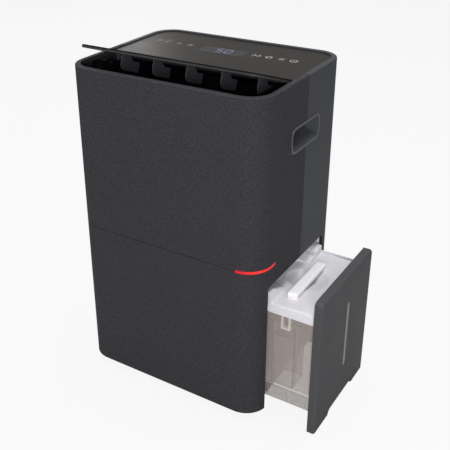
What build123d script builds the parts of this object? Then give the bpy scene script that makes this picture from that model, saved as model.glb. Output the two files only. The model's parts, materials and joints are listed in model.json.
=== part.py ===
from build123d import *
import math
import os

# Free-standing compressor dehumidifier, in millimetres.
# The origin is on the floor below the middle of the casing, +X is the tank side, -Y the front, +Z up.
# The tank stands pulled out by PULL and the outlet flap stands open by FLAP_OPEN, as they are at rest.

os.makedirs("parts", exist_ok=True)

# Casing
BODY_W = 384.0        # across the two sides
BODY_D = 303.0        # front face to rear face
BODY_H = 600.0        # casing alone, without the feet
CORNER_R = 45.0       # upright corners in plan
WALL = 2.8            # moulded wall
SEAM_Y = 5.0          # where the front and rear shells meet
SEAM_GAP = 0.6        # open line at that seam
RIM_W = 10.0          # flat band round the top
RIM_T = 8.0           # depth of that band
RIM_ROUND = 2.5       # its outer edge
GROOVE_W = 1.4        # parting groove across the front
GROOVE_IN = 0.9
FIT = 0.4             # gap round a fixed moulding that drops into another
RUN = 0.3             # gap between faces that slide past each other
PIN_PLAY = 0.08       # radial play of a pin in its hole

# Feet and floor pan
FOOT_H = 18.0
FOOT_R = 15.0
FOOT_ROUND = 2.0
FOOT_IN = 48.0        # from the casing's faces to a foot's centre
PAN_T = 5.0
PAN_CLEAR = 2.0       # pan edge to the closed tank front

# Tank mouth in the right side
MOUTH_FRONT = 36.3    # front face to the mouth's front edge
MOUTH_REAR = 45.5     # rear face to the mouth's rear edge
MOUTH_H = 261.0       # above the casing's lower edge
MOUTH_R = 9.0

# Tank front panel
PULL = 100.0          # how far the tank stands out
PANEL_T = 16.0
PANEL_SKIN = 4.0
PANEL_GAP = 1.2       # open line round the closed panel
PANEL_HEAD = 2.0      # open line above it
PANEL_DROP = 15.5     # how far its legs reach below the casing
PANEL_ROUND = 5.0     # edges of its outer face
NOTCH_FRONT = 55.0    # front leg's length
NOTCH_REAR = 57.0     # rear leg's length
NOTCH_H = 13.0
NOTCH_R = 11.0        # notch's front corner
NOTCH_SLANT = 6.0     # slope of the notch's rear end

# Level window in the panel
WINDOW_W = 11.0
WINDOW_HEAD = 11.0    # tank's upper edge to the window's upper end
WINDOW_FOOT = 36.0    # tank's lower edge to the window's lower end
WINDOW_LIP = 3.0
WINDOW_LIP_T = 1.5
WINDOW_SHIFT = 7.0    # towards the rear of the panel's middle

# Tank
TANK_L = 160.0        # behind the panel
TANK_SIDE_FRONT = 7.2 # mouth's front edge to the tank wall
TANK_SIDE_REAR = 8.0
TANK_LIFT = 26.0      # tank's lower edge above the casing's lower edge
TANK_H = 184.0
TANK_WALL = 2.5
TANK_R = 14.0         # inner-end upright corners
TANK_FLOOR_UP = 32.0  # tank floor above the tank's lower edge
SKIRT_WINDOW_W = 32.0
SKIRT_WINDOW_H = 22.0
SKIRT_PITCH = 37.0
SKIRT_WINDOWS = 4
SKIRT_SINK = 1.2      # depth of the sunk panels in the skirt

# Lid
LID_H = 17.0
LID_T = 2.5
LID_OVER = 2.0        # overhang of the lower band
LID_STEP = 1.2        # each band set in from the one below
LID_BAND = 6.0        # height of a band
LID_ROUND = 2.5
WELL_R = 41.0         # shallow round dish
WELL_DEPTH = 4.5
WELL_IN = 62.0        # panel's inner face to the well's centre
GRIP_R = 31.0         # deeper finger well inside the dish
GRIP_DEPTH = 13.0
GRIP_SHIFT = 9.5      # from the dish's centre, towards the casing
HOOD_L = 60.0         # raised water inlet, along X
HOOD_W = 57.0         # lid's rear edge to the hood's front face
HOOD_BACK = 5.0       # lid's rear edge to the hood's rear face
HOOD_H = 17.0
HOOD_ROUND = 2.5
HOOD_IN = 80.0        # panel's inner face to the hood's near face
STOP_W = 46.0         # raised stop at the front, along Y
STOP_H = 19.0
STOP_LAND = 6.5       # hood's near face to the top of the stop's slope
STOP_FOOT = 2.5       # hood's near face to the foot of that slope
STOP_TOE = 1.0        # height of the slope's foot
LIP_T = 2.5           # raised lip along the lid's rear edge
LIP_H = 4.0
POUR_R = 4.5          # pouring hole in the hood's near face
POUR_UP = 8.0         # its centre above the lid
POUR_BACK = 33.0      # lid's rear edge to its centre
INLET_R = 8.0
INLET_IN = 111.0      # panel's inner face to the inlet's centre
INLET_BACK = 16.0     # lid's rear edge to the inlet's centre

# Carrying bar over the well
BAR_W = 18.0
BAR_L = 124.0
BAR_IN = 57.5         # panel's inner face to the bar's middle
BAR_T = 6.5
BAR_RISE = 10.0
BAR_LEG = 9.0
BAR_SHIFT = -11.0     # from the tank's middle, towards the front
BAR_NOSE = 4.0        # rounding of the bar's two ends
BAR_ROUND = 1.5

# Float and its hanger
FLOAT_W = 39.0
FLOAT_D = 43.0
FLOAT_H = 105.5
FLOAT_T = 1.5
FLOAT_IN = 37.0       # panel's inner face to the float's near face
FLOAT_PLAY = 0.8
FLOAT_RISE = 12.0     # travel before it meets the hanger's stop
GUIDE_T = 1.5
GUIDE_D = 12.0
GUIDE_UP = 20.0       # guides above the float's top
HANGER_BAR = 4.0
HANGER_W = 18.0

# Bay round the tank
LINER_T = 2.0
JAMB_GAP = 0.8        # shut panel's rear edge to the mouth's trim
JAMB_LAP = 12.0       # trim's lap on the liner, along X
JAMB_SHORT = 1.2      # trim's end to the casing's wall
BAY_SIDE = 3.0        # lid to the bay's side walls
BAY_END = 4.0         # tank's inner end to the bay's end wall
BAY_MOUTH = 2.0       # liner's edge to the closed panel
BAY_HEAD = 4.0        # mouth's top edge to the bay's ceiling
SENSOR_T = 8.0
SENSOR_W = 24.0
SENSOR_H = 30.0

# Deck above the bay
DECK_T = 3.0
DECK_LEG = 12.0
DECK_LEG_IN = 8.0     # casing's inner wall to a leg
DECK_LEG_Y = 95.0

# Carrying pockets in both sides
HANDLE_W = 108.0
HANDLE_H = 46.0
HANDLE_R = 16.0
HANDLE_DROP = 100.0   # top of the casing to the pocket's middle
HANDLE_Y = 1.5
BEZEL_W = 4.0
BEZEL_PROUD = 1.2
BEZEL_LAP = 1.6
CUP_T = 2.0
CUP_DEPTH = 30.0
CUP_HOOK = 11.0       # room for fingers above the opening
CUP_SILL = 14.0       # rise of the sloping floor

# Light strip round the right front corner
LED_H = 4.8
LED_TAIL = 13.0       # strip's straight end along the right side
LED_UP = 298.0        # its middle above the casing's lower edge
CARRIER_T = 4.0
CARRIER_H = 16.0
CARRIER_GAP = 0.2

# Top: outlet, glass and controls
OUTLET_D = 114.5      # front rim to the glass
GLASS_T = 4.0
GLASS_SINK = 2.0
TRAY_T = 3.0
TRAY_BACK = 1.0       # tray's front edge behind the glass's
BOARD_T = 2.0
BOARD_DROP = 3.0
BOARD_W = 300.0
BOARD_FRONT = 47.0    # glass front edge to the board
BOARD_D = 68.0
BOSS_R = 4.0
BOSS_IN = 8.0
DISPLAY_W = 100.0
DISPLAY_D = 42.0
DISPLAY_BACK = 81.0   # glass front edge to the display's middle

# Flap
FLAP_OPEN = 20.0      # degrees
FLAP_T = 5.5
FLAP_SINK = 1.5
FLAP_GAP = 0.8
FLAP_ROUND = 1.2
HINGE_GAP = 1.0       # knuckle to the glass
KNUCKLE_R = 3.0
PIN_R = 2.0
PIN_L = 5.0
VANES = 5
VANE_T = 1.8
VANE_EDGE = 17.0      # duct wall to the outer vanes
VANE_FRONT = 31.0     # ahead of the hinge
VANE_TAIL = 24.0      # behind the hinge
VANE_DEPTH = 30.0     # below the hinge
VANE_ROOM = 1.5       # vanes' tails to the duct's ceiling
VANE_R = 14.0

# Flap drive: motor, crank and link, a parallelogram with the flap
MOTOR_AHEAD = 41.0    # hinge to the motor's shaft
MOTOR_BELOW = 20.0
MOTOR_R = 14.0
CRANK = 18.0          # crank length, and the same on the flap's arm
CRANK_T = 3.0
LINK_T = 3.0
LINK_R = 4.5
LAYER_GAP = 0.4
HUB_R = 6.0
SHAFT_R = 2.5
OPEN_PLAY = 0.3       # the link's far hole, where the loop is left open
ARM_GAP = 2.0         # duct wall to the flap's drive arm
EAR_H = 28.0
EAR_REACH = 22.0      # shaft to the ear's rear edge
EAR_T = 2.0
EAR_SCREW = 8.5       # each screw above or below the shaft
EAR_SCREW_IN = 5.0    # ear's rear edge to the screws
POST_R = 4.0
SCREW_R = 1.5
SCREW_L = 9.0
SCREW_HEAD_R = 2.8
SCREW_HEAD_T = 1.6

# Outlet duct
DUCT_T = 2.0
DUCT_SIDE = 27.0      # rim's inner edge to the duct
DUCT_FRONT = 2.5      # rim's inner edge to the duct's front wall
DUCT_HEAD = 4.0       # rim's underside to the duct's upper edge
DUCT_DEPTH = 78.0     # casing's top to the duct's floor
DUCT_LIP = 36.0       # height of its front wall
DUCT_SLOPE = 79.0     # length of its sloping floor
DUCT_BACK = 26.0      # height of its back wall
CEILING_RUN = 7.0     # flat ceiling behind the vanes' tails

# Coils and tray
COIL_SIDE = 42.0      # casing's side to the coils
COIL_REAR = 17.5      # rear face to the evaporator
COIL_T = 26.0
COIL_GAP = 4.0
COIL_HEAD = 75.0      # casing's top to the coils' top
FINS = 32             # gaps between fins along a coil
FIN_T = 3.2
TUBE_ROWS = 5         # rows of fin gaps between the coil's tubes
TUBE_H = 8.0
FIN_EDGE = 8.0
STUB_L = 8.0
TRAY_SIDE = 4.0
DRIP_T = 3.0
DRIP_WALL = 2.5
DRIP_H = 18.0
SPOUT_R = 7.0
SPOUT_BORE = 5.0
SPOUT_CLEAR = 4.0     # spout's end above the lid's hood

# Blower
SCROLL_GAP = 12.0     # condenser to the scroll
SCROLL_D = 62.0
SCROLL_FOOT = 20.0
SCROLL_HEAD = 22.0    # scroll's top below the duct
SCROLL_WALL = 2.0
SCROLL_OUT = 100.0
PEDESTAL = 50.0       # half width
FAN_TIP = 22.0        # scroll's radius less the fan's
FAN_SIDE = 6.0
FAN_PLATE = 2.0
BLADES = 28
BLADE_L = 13.0
BLADE_T = 1.6
BLADE_TURN = 35.0
FAN_HUB_R = 10.0
FAN_HUB_L = 16.0
FAN_SHAFT_R = 4.0
FAN_SHAFT_IN = 26.0   # length inside the motor
FAN_MOTOR_R = 38.0
FAN_MOTOR_L = 46.0
SHAFT_HOLE = 8.0

# Compressor and pipes
COMP_R = 50.0
COMP_H = 150.0
COMP_DOME = 26.0
COMP_PLATE_R = 68.0
COMP_PLATE_T = 4.0
MOUNT_H = 12.0
MOUNT_R = 9.0
MOUNT_AT = 58.0
PIPE_R = 3.5
PIPE_HOLE = 6.0
PIPE_BEND = 12.0
DISCHARGE_X = -25.0   # from the compressor's middle
SUCTION_Y = -30.0
SUCTION_UP = 45.0     # suction line's crossing above the compressor
DISCHARGE_UP = 22.0   # above the deck
EVAP_STUB_UP = 50.0
PIPE_OUT = 22.0       # coils' end to the upright pipes

# Electrics
POWER_W = 80.0
POWER_D = 76.0
POWER_H = 82.0
POWER_ROUND = 3.0
POWER_X = -100.0
POWER_FRONT = 12.0    # casing's inner front wall to the box
CAP_R = 18.0
CAP_H = 62.0
CAP_X = 92.0
CAP_FRONT = 48.0
HUMID_W = 22.0
HUMID_T = 6.0
HUMID_H = 14.0
HUMID_X = 90.0
HUMID_DROP = 40.0

# Rear: filter cassette, drain and cord gland
CASSETTE_SIDE = 52.0  # casing's side to the cassette
CASSETTE_FOOT = 14.0  # deck to the cassette
CASSETTE_HEAD = 60.0  # casing's top to the cassette
CASSETTE_T = 10.0
CASSETTE_FRAME = 12.0
SLATS = 17
SLAT_H = 3.2
SLAT_T = 6.0
UPRIGHTS = 3
UPRIGHT_W = 3.0
MESH_T = 1.2
MESH_IN = 4.0
MESH_NX = 16
MESH_NZ = 14
MESH_BAR = 1.6
DRAIN_X = -110.0
DRAIN_UP = 45.0
DRAIN_FLANGE_R = 13.0
DRAIN_FLANGE_T = 1.5
DRAIN_R = 8.0
DRAIN_BORE = 5.0
DRAIN_L = 6.0
CAP_WALL = 3.0
CAP_TOP = 2.0
CAP_RIBS = 12
CAP_RIB = 1.2
GLAND_X = 130.0
GLAND_UP = 45.0
GLAND_R = 7.0
GLAND_FLANGE_R = 10.0
GLAND_FLANGE_T = 2.0
GLAND_BORE = 4.0
CASE_SCREW_IN = 10.0  # from the corner's start
CASE_SCREW_LOW = 14.0
CASE_SCREW_HIGH = 24.0
CASE_SCREW_R = 1.8
CASE_SCREW_HEAD_R = 4.0
CASE_SCREW_HEAD_T = 1.6
CASE_SCREW_L = 9.0

# Places worked out from the sizes above
HALF_W = BODY_W / 2
HALF_D = BODY_D / 2
BOT = FOOT_H
TOP = BOT + BODY_H
INNER_X = HALF_W - WALL
INNER_Y = HALF_D - WALL
PAN_TOP = BOT + PAN_T
OUTSIDE = CORNER_R    # reach of a cutter beyond the casing

MOUTH_Y0 = -HALF_D + MOUTH_FRONT
MOUTH_Y1 = HALF_D - MOUTH_REAR
MOUTH_TOP = BOT + MOUTH_H

PANEL_Y0 = MOUTH_Y0 + PANEL_GAP
PANEL_Y1 = MOUTH_Y1 - PANEL_GAP
PANEL_Z0 = BOT - PANEL_DROP
PANEL_Z1 = MOUTH_TOP - PANEL_HEAD
PANEL_SHUT = HALF_W - PANEL_T
PANEL_OUT = HALF_W + PULL
PANEL_IN = PANEL_OUT - PANEL_T

TANK_Y0 = MOUTH_Y0 + TANK_SIDE_FRONT
TANK_Y1 = MOUTH_Y1 - TANK_SIDE_REAR
TANK_Z0 = BOT + TANK_LIFT
TANK_Z1 = TANK_Z0 + TANK_H
TANK_FLOOR = TANK_Z0 + TANK_FLOOR_UP
TANK_X0 = PANEL_IN - TANK_L
TANK_MID_Y = (TANK_Y0 + TANK_Y1) / 2
LID_Z0 = TANK_Z1
LID_TOP = LID_Z0 + LID_H
WELL_X = PANEL_IN - WELL_IN
GRIP_X = WELL_X - GRIP_SHIFT
HOOD_X = PANEL_IN - HOOD_IN
BAR_X = PANEL_IN - BAR_IN
INLET_X = PANEL_IN - INLET_IN
INLET_Y = TANK_Y1 - INLET_BACK

WINDOW_Y = (PANEL_Y0 + PANEL_Y1) / 2 + WINDOW_SHIFT
WINDOW_Z0 = TANK_Z0 + WINDOW_FOOT
WINDOW_Z1 = TANK_Z1 - WINDOW_HEAD

FLOAT_X1 = PANEL_IN - FLOAT_IN
FLOAT_X0 = FLOAT_X1 - FLOAT_W
FLOAT_Y0 = TANK_Y0 + TANK_WALL + FLOAT_PLAY
FLOAT_Y1 = FLOAT_Y0 + FLOAT_D
FLOAT_Z0 = TANK_FLOOR + RUN
FLOAT_Z1 = FLOAT_Z0 + FLOAT_H
HANGER_Z0 = FLOAT_Z1 + FLOAT_RISE + RUN

BAY_X0 = PANEL_SHUT - TANK_L - BAY_END
BAY_X1 = PANEL_SHUT - BAY_MOUTH
BAY_Y0 = TANK_Y0 - LID_OVER - BAY_SIDE
BAY_Y1 = TANK_Y1 + LID_OVER + BAY_SIDE
BAY_FLOOR = TANK_Z0 - RUN
BAY_TOP = MOUTH_TOP + BAY_HEAD
DECK_Z0 = BAY_TOP + LINER_T
DECK_TOP = DECK_Z0 + DECK_T
SPOUT_X = INLET_X - PULL
SPOUT_Z0 = LID_TOP + HOOD_H + SPOUT_CLEAR

HANDLE_Z = TOP - HANDLE_DROP
OPEN_HALF_W = HANDLE_W / 2 - BEZEL_W
OPEN_HALF_H = HANDLE_H / 2 - BEZEL_W
HOLE_HALF_W = HANDLE_W / 2 - BEZEL_LAP
HOLE_HALF_H = HANDLE_H / 2 - BEZEL_LAP

LED_Z0 = BOT + LED_UP - LED_H / 2
GLASS_Y0 = -HALF_D + RIM_W + OUTLET_D
GLASS_Z0 = TOP - GLASS_SINK - GLASS_T
TRAY_Z1 = TOP - RIM_T
TRAY_Z0 = TRAY_Z1 - TRAY_T
BOARD_Z1 = TRAY_Z0 - BOARD_DROP
BOARD_Y0 = GLASS_Y0 + BOARD_FRONT
DISPLAY_Y = GLASS_Y0 + DISPLAY_BACK

HINGE_Y = GLASS_Y0 - HINGE_GAP - KNUCKLE_R
HINGE_Z = TOP - FLAP_SINK - FLAP_T / 2
FLAP_X = HALF_W - RIM_W - FLAP_GAP
HINGE_AXIS = Axis((0, HINGE_Y, HINGE_Z), (1, 0, 0))
TILT = math.radians(FLAP_OPEN)
MOTOR_Y = HINGE_Y - MOTOR_AHEAD
MOTOR_Z = HINGE_Z - MOTOR_BELOW
CRANK_DY = -CRANK * math.sin(TILT)
CRANK_DZ = -CRANK * math.cos(TILT)

DUCT_X = HALF_W - RIM_W - DUCT_SIDE
DUCT_Y0 = -HALF_D + RIM_W + DUCT_FRONT
DUCT_Z0 = TOP - DUCT_DEPTH
DUCT_Z1 = TOP - RIM_T - DUCT_HEAD
CEILING_Y = HINGE_Y + VANE_TAIL + CEILING_RUN
VANE_PITCH = 2 * (DUCT_X - DUCT_T - VANE_EDGE) / (VANES - 1)

ARM_X1 = -DUCT_X - ARM_GAP
ARM_X0 = ARM_X1 - CRANK_T
LINK_X1 = ARM_X0 - LAYER_GAP
LINK_X0 = LINK_X1 - LINK_T
CRANK_X1 = LINK_X0 - LAYER_GAP
CRANK_X0 = CRANK_X1 - CRANK_T
MOTOR_X1 = CRANK_X0 - LAYER_GAP
EAR_SCREW_Y = MOTOR_Y + EAR_REACH - EAR_SCREW_IN
EAR_SCREW_ZS = (MOTOR_Z - EAR_SCREW, MOTOR_Z + EAR_SCREW)

EVAP_Y1 = HALF_D - COIL_REAR
EVAP_Y0 = EVAP_Y1 - COIL_T
COND_Y0 = EVAP_Y0 - COIL_GAP - COIL_T
COIL_X = HALF_W - COIL_SIDE
COIL_Z0 = DECK_TOP + DRIP_T
COIL_Z1 = TOP - COIL_HEAD
SCROLL_Y1 = COND_Y0 - SCROLL_GAP
SCROLL_Y0 = SCROLL_Y1 - SCROLL_D
SCROLL_R = (DUCT_Z0 - SCROLL_HEAD - DECK_TOP - SCROLL_FOOT) / 2
FAN_Z = DECK_TOP + SCROLL_FOOT + SCROLL_R
FAN_R = SCROLL_R - FAN_TIP
FAN_Y0 = SCROLL_Y0 + SCROLL_WALL + FAN_SIDE
FAN_Y1 = SCROLL_Y1 - SCROLL_WALL - FAN_SIDE

COMP_X = (-INNER_X + BAY_X0 - LINER_T) / 2
COMP_Z0 = PAN_TOP + MOUNT_H
COMP_TOP = COMP_Z0 + COMP_PLATE_T + COMP_H
CASSETTE_X = HALF_W - CASSETTE_SIDE
CASSETTE_Z0 = DECK_TOP + CASSETTE_FOOT
CASSETTE_Z1 = TOP - CASSETTE_HEAD
CASSETTE_Y0 = HALF_D - CASSETTE_T
CASE_SCREW_X = HALF_W - CORNER_R - CASE_SCREW_IN
CASE_SCREW_ZS = (BOT + CASE_SCREW_LOW, TOP - CASE_SCREW_HIGH)


def block(x, y, z, mode=Mode.ADD):
    """A box between a low and a high value on each axis."""
    with Locations(((x[0] + x[1]) / 2, (y[0] + y[1]) / 2, (z[0] + z[1]) / 2)):
        Box(x[1] - x[0], y[1] - y[0], z[1] - z[0], mode=mode)


def rod(start, direction, radius, length, mode=Mode.ADD):
    """A round bar from a point along a direction."""
    with Locations(Plane(origin=start, z_dir=direction)):
        Cylinder(radius, length, align=(Align.CENTER, Align.CENTER, Align.MIN), mode=mode)


def shell_half(keep):
    """The casing as a rounded tube with a rim round its open top and the tank's mouth, cut at the seam."""
    side = -1 if keep == Keep.TOP else 1
    with BuildPart() as half:
        with BuildSketch(Plane.XY.offset(BOT)):
            RectangleRounded(BODY_W, BODY_D, CORNER_R)
        extrude(amount=BODY_H)
        fillet(half.faces().sort_by(Axis.Z)[-1].edges(), RIM_ROUND)
        with BuildSketch(Plane.XY.offset(BOT)):
            RectangleRounded(BODY_W - 2 * WALL, BODY_D - 2 * WALL, CORNER_R - WALL)
        extrude(amount=BODY_H - RIM_T, mode=Mode.SUBTRACT)
        with BuildSketch(Plane.XY.offset(TOP - RIM_T)):
            RectangleRounded(BODY_W - 2 * RIM_W, BODY_D - 2 * RIM_W, CORNER_R - RIM_W)
        extrude(amount=RIM_T, mode=Mode.SUBTRACT)
        with BuildSketch(Plane.YZ.offset(HALF_W - CORNER_R)) as mouth:
            with Locations(((MOUTH_Y0 + MOUTH_Y1) / 2, (MOUTH_TOP) / 2)):
                Rectangle(MOUTH_Y1 - MOUTH_Y0, MOUTH_TOP)
            fillet(mouth.vertices().group_by(Axis.Y)[-1], MOUTH_R)
        extrude(amount=CORNER_R + OUTSIDE, mode=Mode.SUBTRACT)
        for sign in (-1, 1):
            block(
                sorted((sign * (HALF_W - CORNER_R), sign * (HALF_W + OUTSIDE))),
                (HANDLE_Y - HOLE_HALF_W, HANDLE_Y + HOLE_HALF_W),
                (HANDLE_Z - HOLE_HALF_H, HANDLE_Z + HOLE_HALF_H),
                Mode.SUBTRACT,
            )
        split(bisect_by=Plane.XZ.offset(-SEAM_Y - side * SEAM_GAP / 2), keep=keep)
    return half.part


def corner_ring(outer_inset, thickness, z, height):
    """A quarter ring that follows the right front corner in plan, with a straight tail along the side."""
    inset = outer_inset + thickness
    with BuildPart() as ring:
        with BuildSketch(Plane.XY.offset(z)):
            RectangleRounded(BODY_W - 2 * outer_inset, BODY_D - 2 * outer_inset, CORNER_R - outer_inset)
            RectangleRounded(BODY_W - 2 * inset, BODY_D - 2 * inset, CORNER_R - inset, mode=Mode.SUBTRACT)
            with Locations((HALF_W - CORNER_R / 2, -HALF_D + (CORNER_R + LED_TAIL) / 2)):
                Rectangle(CORNER_R, CORNER_R + LED_TAIL, mode=Mode.INTERSECT)
        extrude(amount=height)
    return ring.part


# Front shell: the textured cover, with the parting groove, the light slot and the flap's pin holes
with BuildPart() as groove:
    with BuildSketch(Plane.XY.offset(BOT + LED_UP - GROOVE_W / 2)):
        RectangleRounded(BODY_W + 2 * OUTSIDE, BODY_D + 2 * OUTSIDE, CORNER_R)
        RectangleRounded(
            BODY_W - 2 * GROOVE_IN,
            BODY_D - 2 * GROOVE_IN,
            CORNER_R - GROOVE_IN,
            mode=Mode.SUBTRACT,
        )
        with Locations((-CORNER_R / 2, -HALF_D + CORNER_R / 2 - OUTSIDE / 2)):
            Rectangle(BODY_W - CORNER_R + 2 * FIT, CORNER_R + OUTSIDE, mode=Mode.INTERSECT)
    extrude(amount=GROOVE_W)

with BuildPart() as front_shell:
    add(shell_half(Keep.TOP))
    add(groove.part, mode=Mode.SUBTRACT)
    block(
        (HALF_W - CORNER_R - FIT, HALF_W + OUTSIDE),
        (-HALF_D - OUTSIDE, -HALF_D + CORNER_R + LED_TAIL + FIT),
        (LED_Z0 - FIT / 2, LED_Z0 + LED_H + FIT / 2),
        Mode.SUBTRACT,
    )
    for sign in (-1, 1):
        pin_seat = (sign * (FLAP_X - FIT), HINGE_Y, HINGE_Z)
        rod(pin_seat, (sign, 0, 0), PIN_R + PIN_PLAY, PIN_L + 2 * FIT, Mode.SUBTRACT)
    for z in EAR_SCREW_ZS:
        post_l = MOTOR_X1 - EAR_T + INNER_X
        rod((-INNER_X, EAR_SCREW_Y, z), (1, 0, 0), POST_R, post_l)
        rod((MOTOR_X1, EAR_SCREW_Y, z), (-1, 0, 0), SCREW_R + PIN_PLAY, SCREW_L + RUN, Mode.SUBTRACT)
front_shell.part.label = "front_shell"
export_step(front_shell.part, "parts/front_shell.step")

# Rear shell: the smooth half, with the filter's opening and holes for the drain, the cord and the screws
with BuildPart() as rear_shell:
    add(shell_half(Keep.BOTTOM))
    block(
        (-CASSETTE_X, CASSETTE_X),
        (INNER_Y - CORNER_R, HALF_D + OUTSIDE),
        (CASSETTE_Z0, CASSETTE_Z1),
        Mode.SUBTRACT,
    )
    for x, up, radius in ((DRAIN_X, DRAIN_UP, DRAIN_R), (GLAND_X, GLAND_UP, GLAND_R)):
        mouth = (x, HALF_D + OUTSIDE, BOT + up)
        rod(mouth, (0, -1, 0), radius + FIT, CORNER_R + OUTSIDE, Mode.SUBTRACT)
    for z in CASE_SCREW_ZS:
        for sign in (-1, 1):
            screw_at = (sign * CASE_SCREW_X, HALF_D, z)
            rod(screw_at, (0, -1, 0), CASE_SCREW_HEAD_R + FIT, CASE_SCREW_HEAD_T, Mode.SUBTRACT)
            rod(screw_at, (0, -1, 0), CASE_SCREW_R + PIN_PLAY, CORNER_R, Mode.SUBTRACT)
rear_shell.part.label = "rear_shell"
export_step(rear_shell.part, "parts/rear_shell.step")

# Screws that hold the rear shell
with BuildPart() as shell_screws:
    for z in CASE_SCREW_ZS:
        for sign in (-1, 1):
            screw_at = (sign * CASE_SCREW_X, HALF_D, z)
            rod(screw_at, (0, -1, 0), CASE_SCREW_HEAD_R, CASE_SCREW_HEAD_T)
            rod(screw_at, (0, -1, 0), CASE_SCREW_R, CASE_SCREW_L)
shell_screws.part.label = "shell_screws"
export_step(shell_screws.part, "parts/shell_screws.step")

# Floor pan, cut back where the closed tank front stands
with BuildPart() as base_pan:
    with BuildSketch(Plane.XY.offset(BOT)):
        RectangleRounded(BODY_W - 2 * (WALL + FIT), BODY_D - 2 * (WALL + FIT), CORNER_R - WALL - FIT)
    extrude(amount=PAN_T)
    block(
        (PANEL_SHUT - PAN_CLEAR, HALF_W),
        (MOUTH_Y0 - PAN_CLEAR, MOUTH_Y1 + PAN_CLEAR),
        (BOT, PAN_TOP),
        Mode.SUBTRACT,
    )
base_pan.part.label = "base_pan"
export_step(base_pan.part, "parts/base_pan.step")

# Four rubber feet
with BuildPart() as feet:
    for sx in (-1, 1):
        for sy in (-1, 1):
            rod((sx * (HALF_W - FOOT_IN), sy * (HALF_D - FOOT_IN), 0), (0, 0, 1), FOOT_R, FOOT_H)
    fillet(feet.faces().filter_by(Axis.Z).group_by(Axis.Z)[0].edges(), FOOT_ROUND)
feet.part.label = "feet"
export_step(feet.part, "parts/feet.step")


def handle_pocket(sign):
    """A carrying pocket: a bezel that laps the wall, and a cup with a sloping floor and a hooked top."""
    front = sign * HALF_W
    back = sign * (HALF_W - CUP_DEPTH)
    lip = sign * (INNER_X - FIT - CUP_T)
    low = HANDLE_Z - OPEN_HALF_H
    high = HANDLE_Z + OPEN_HALF_H
    room = ((front, low), (back, low + CUP_SILL), (back, high + CUP_HOOK), (lip, high + CUP_HOOK))
    body = (
        (front, low - CUP_T),
        (back - sign * CUP_T, low + CUP_SILL - CUP_T),
        (back - sign * CUP_T, high + CUP_HOOK + CUP_T),
        (lip + sign * CUP_T, high + CUP_HOOK + CUP_T),
        (lip + sign * CUP_T, high + CUP_T),
        (front, high + CUP_T),
    )
    with BuildPart() as pocket:
        with BuildSketch(Plane.XZ.offset(-HANDLE_Y)):
            Polygon(*body, align=None)
        extrude(amount=OPEN_HALF_W + CUP_T, both=True)
        with BuildSketch(Plane.XZ.offset(-HANDLE_Y)):
            Polygon(*room, (lip, high), (front, high), align=None)
        extrude(amount=OPEN_HALF_W, both=True, mode=Mode.SUBTRACT)
        with BuildSketch(Plane(origin=(front, HANDLE_Y, HANDLE_Z), x_dir=(0, 1, 0), z_dir=(sign, 0, 0))):
            RectangleRounded(HANDLE_W, HANDLE_H, HANDLE_R)
            RectangleRounded(2 * OPEN_HALF_W, 2 * OPEN_HALF_H, HANDLE_R - BEZEL_W, mode=Mode.SUBTRACT)
        extrude(amount=BEZEL_PROUD)
    return pocket.part


# Carrying pockets in the two sides
handle_pocket_right = handle_pocket(1)
handle_pocket_right.label = "handle_pocket_right"
export_step(handle_pocket_right, "parts/handle_pocket_right.step")

handle_pocket_left = handle_pocket(-1)
handle_pocket_left.label = "handle_pocket_left"
export_step(handle_pocket_left, "parts/handle_pocket_left.step")

# Light strip in the front shell's slot, and the carrier behind it
light_strip = corner_ring(0, WALL, LED_Z0, LED_H)
light_strip.label = "light_strip"
export_step(light_strip, "parts/light_strip.step")

light_carrier = corner_ring(WALL + CARRIER_GAP, CARRIER_T, LED_Z0 + (LED_H - CARRIER_H) / 2, CARRIER_H)
light_carrier.label = "light_carrier"
export_step(light_carrier, "parts/light_carrier.step")

# Bay liner: the white box that the tank slides into, on a skirt that stands on the pan
with BuildPart() as bay_liner:
    block((BAY_X0 - LINER_T, BAY_X1), (BAY_Y0 - LINER_T, BAY_Y1 + LINER_T), (PAN_TOP, BAY_TOP + LINER_T))
    block((BAY_X0, BAY_X1), (BAY_Y0, BAY_Y1), (BAY_FLOOR, BAY_TOP), Mode.SUBTRACT)
    block((BAY_X0, BAY_X1), (BAY_Y0, BAY_Y1), (PAN_TOP, BAY_FLOOR - LINER_T), Mode.SUBTRACT)
    rod((SPOUT_X, INLET_Y, BAY_TOP), (0, 0, 1), SPOUT_R + FIT, LINER_T, Mode.SUBTRACT)
bay_liner.part.label = "bay_liner"
export_step(bay_liner.part, "parts/bay_liner.step")

# Mouth trim: a jamb at the mouth's rear edge, lapped on the liner's outer face
JAMB_Y = PANEL_Y1 + JAMB_GAP
with BuildPart() as mouth_trim:
    block(
        (BAY_X1 - JAMB_LAP, BAY_X1),
        (BAY_Y1 + LINER_T, JAMB_Y + LINER_T),
        (BAY_FLOOR - LINER_T, BAY_TOP + LINER_T),
    )
    block(
        (BAY_X1 - LINER_T, INNER_X - JAMB_SHORT),
        (JAMB_Y, JAMB_Y + LINER_T),
        (BAY_FLOOR - LINER_T, BAY_TOP + LINER_T),
    )
mouth_trim.part.label = "mouth_trim"
export_step(mouth_trim.part, "parts/mouth_trim.step")

# Tank sensor on the bay's end wall
with BuildPart() as tank_sensor:
    block(
        (BAY_X0 - LINER_T - SENSOR_T, BAY_X0 - LINER_T),
        (TANK_MID_Y - SENSOR_W / 2, TANK_MID_Y + SENSOR_W / 2),
        (TANK_Z1 - SENSOR_H, TANK_Z1),
    )
    fillet(tank_sensor.faces().sort_by(Axis.X)[0].edges(), SENSOR_T / 4)
tank_sensor.part.label = "tank_sensor"
export_step(tank_sensor.part, "parts/tank_sensor.step")

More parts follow.
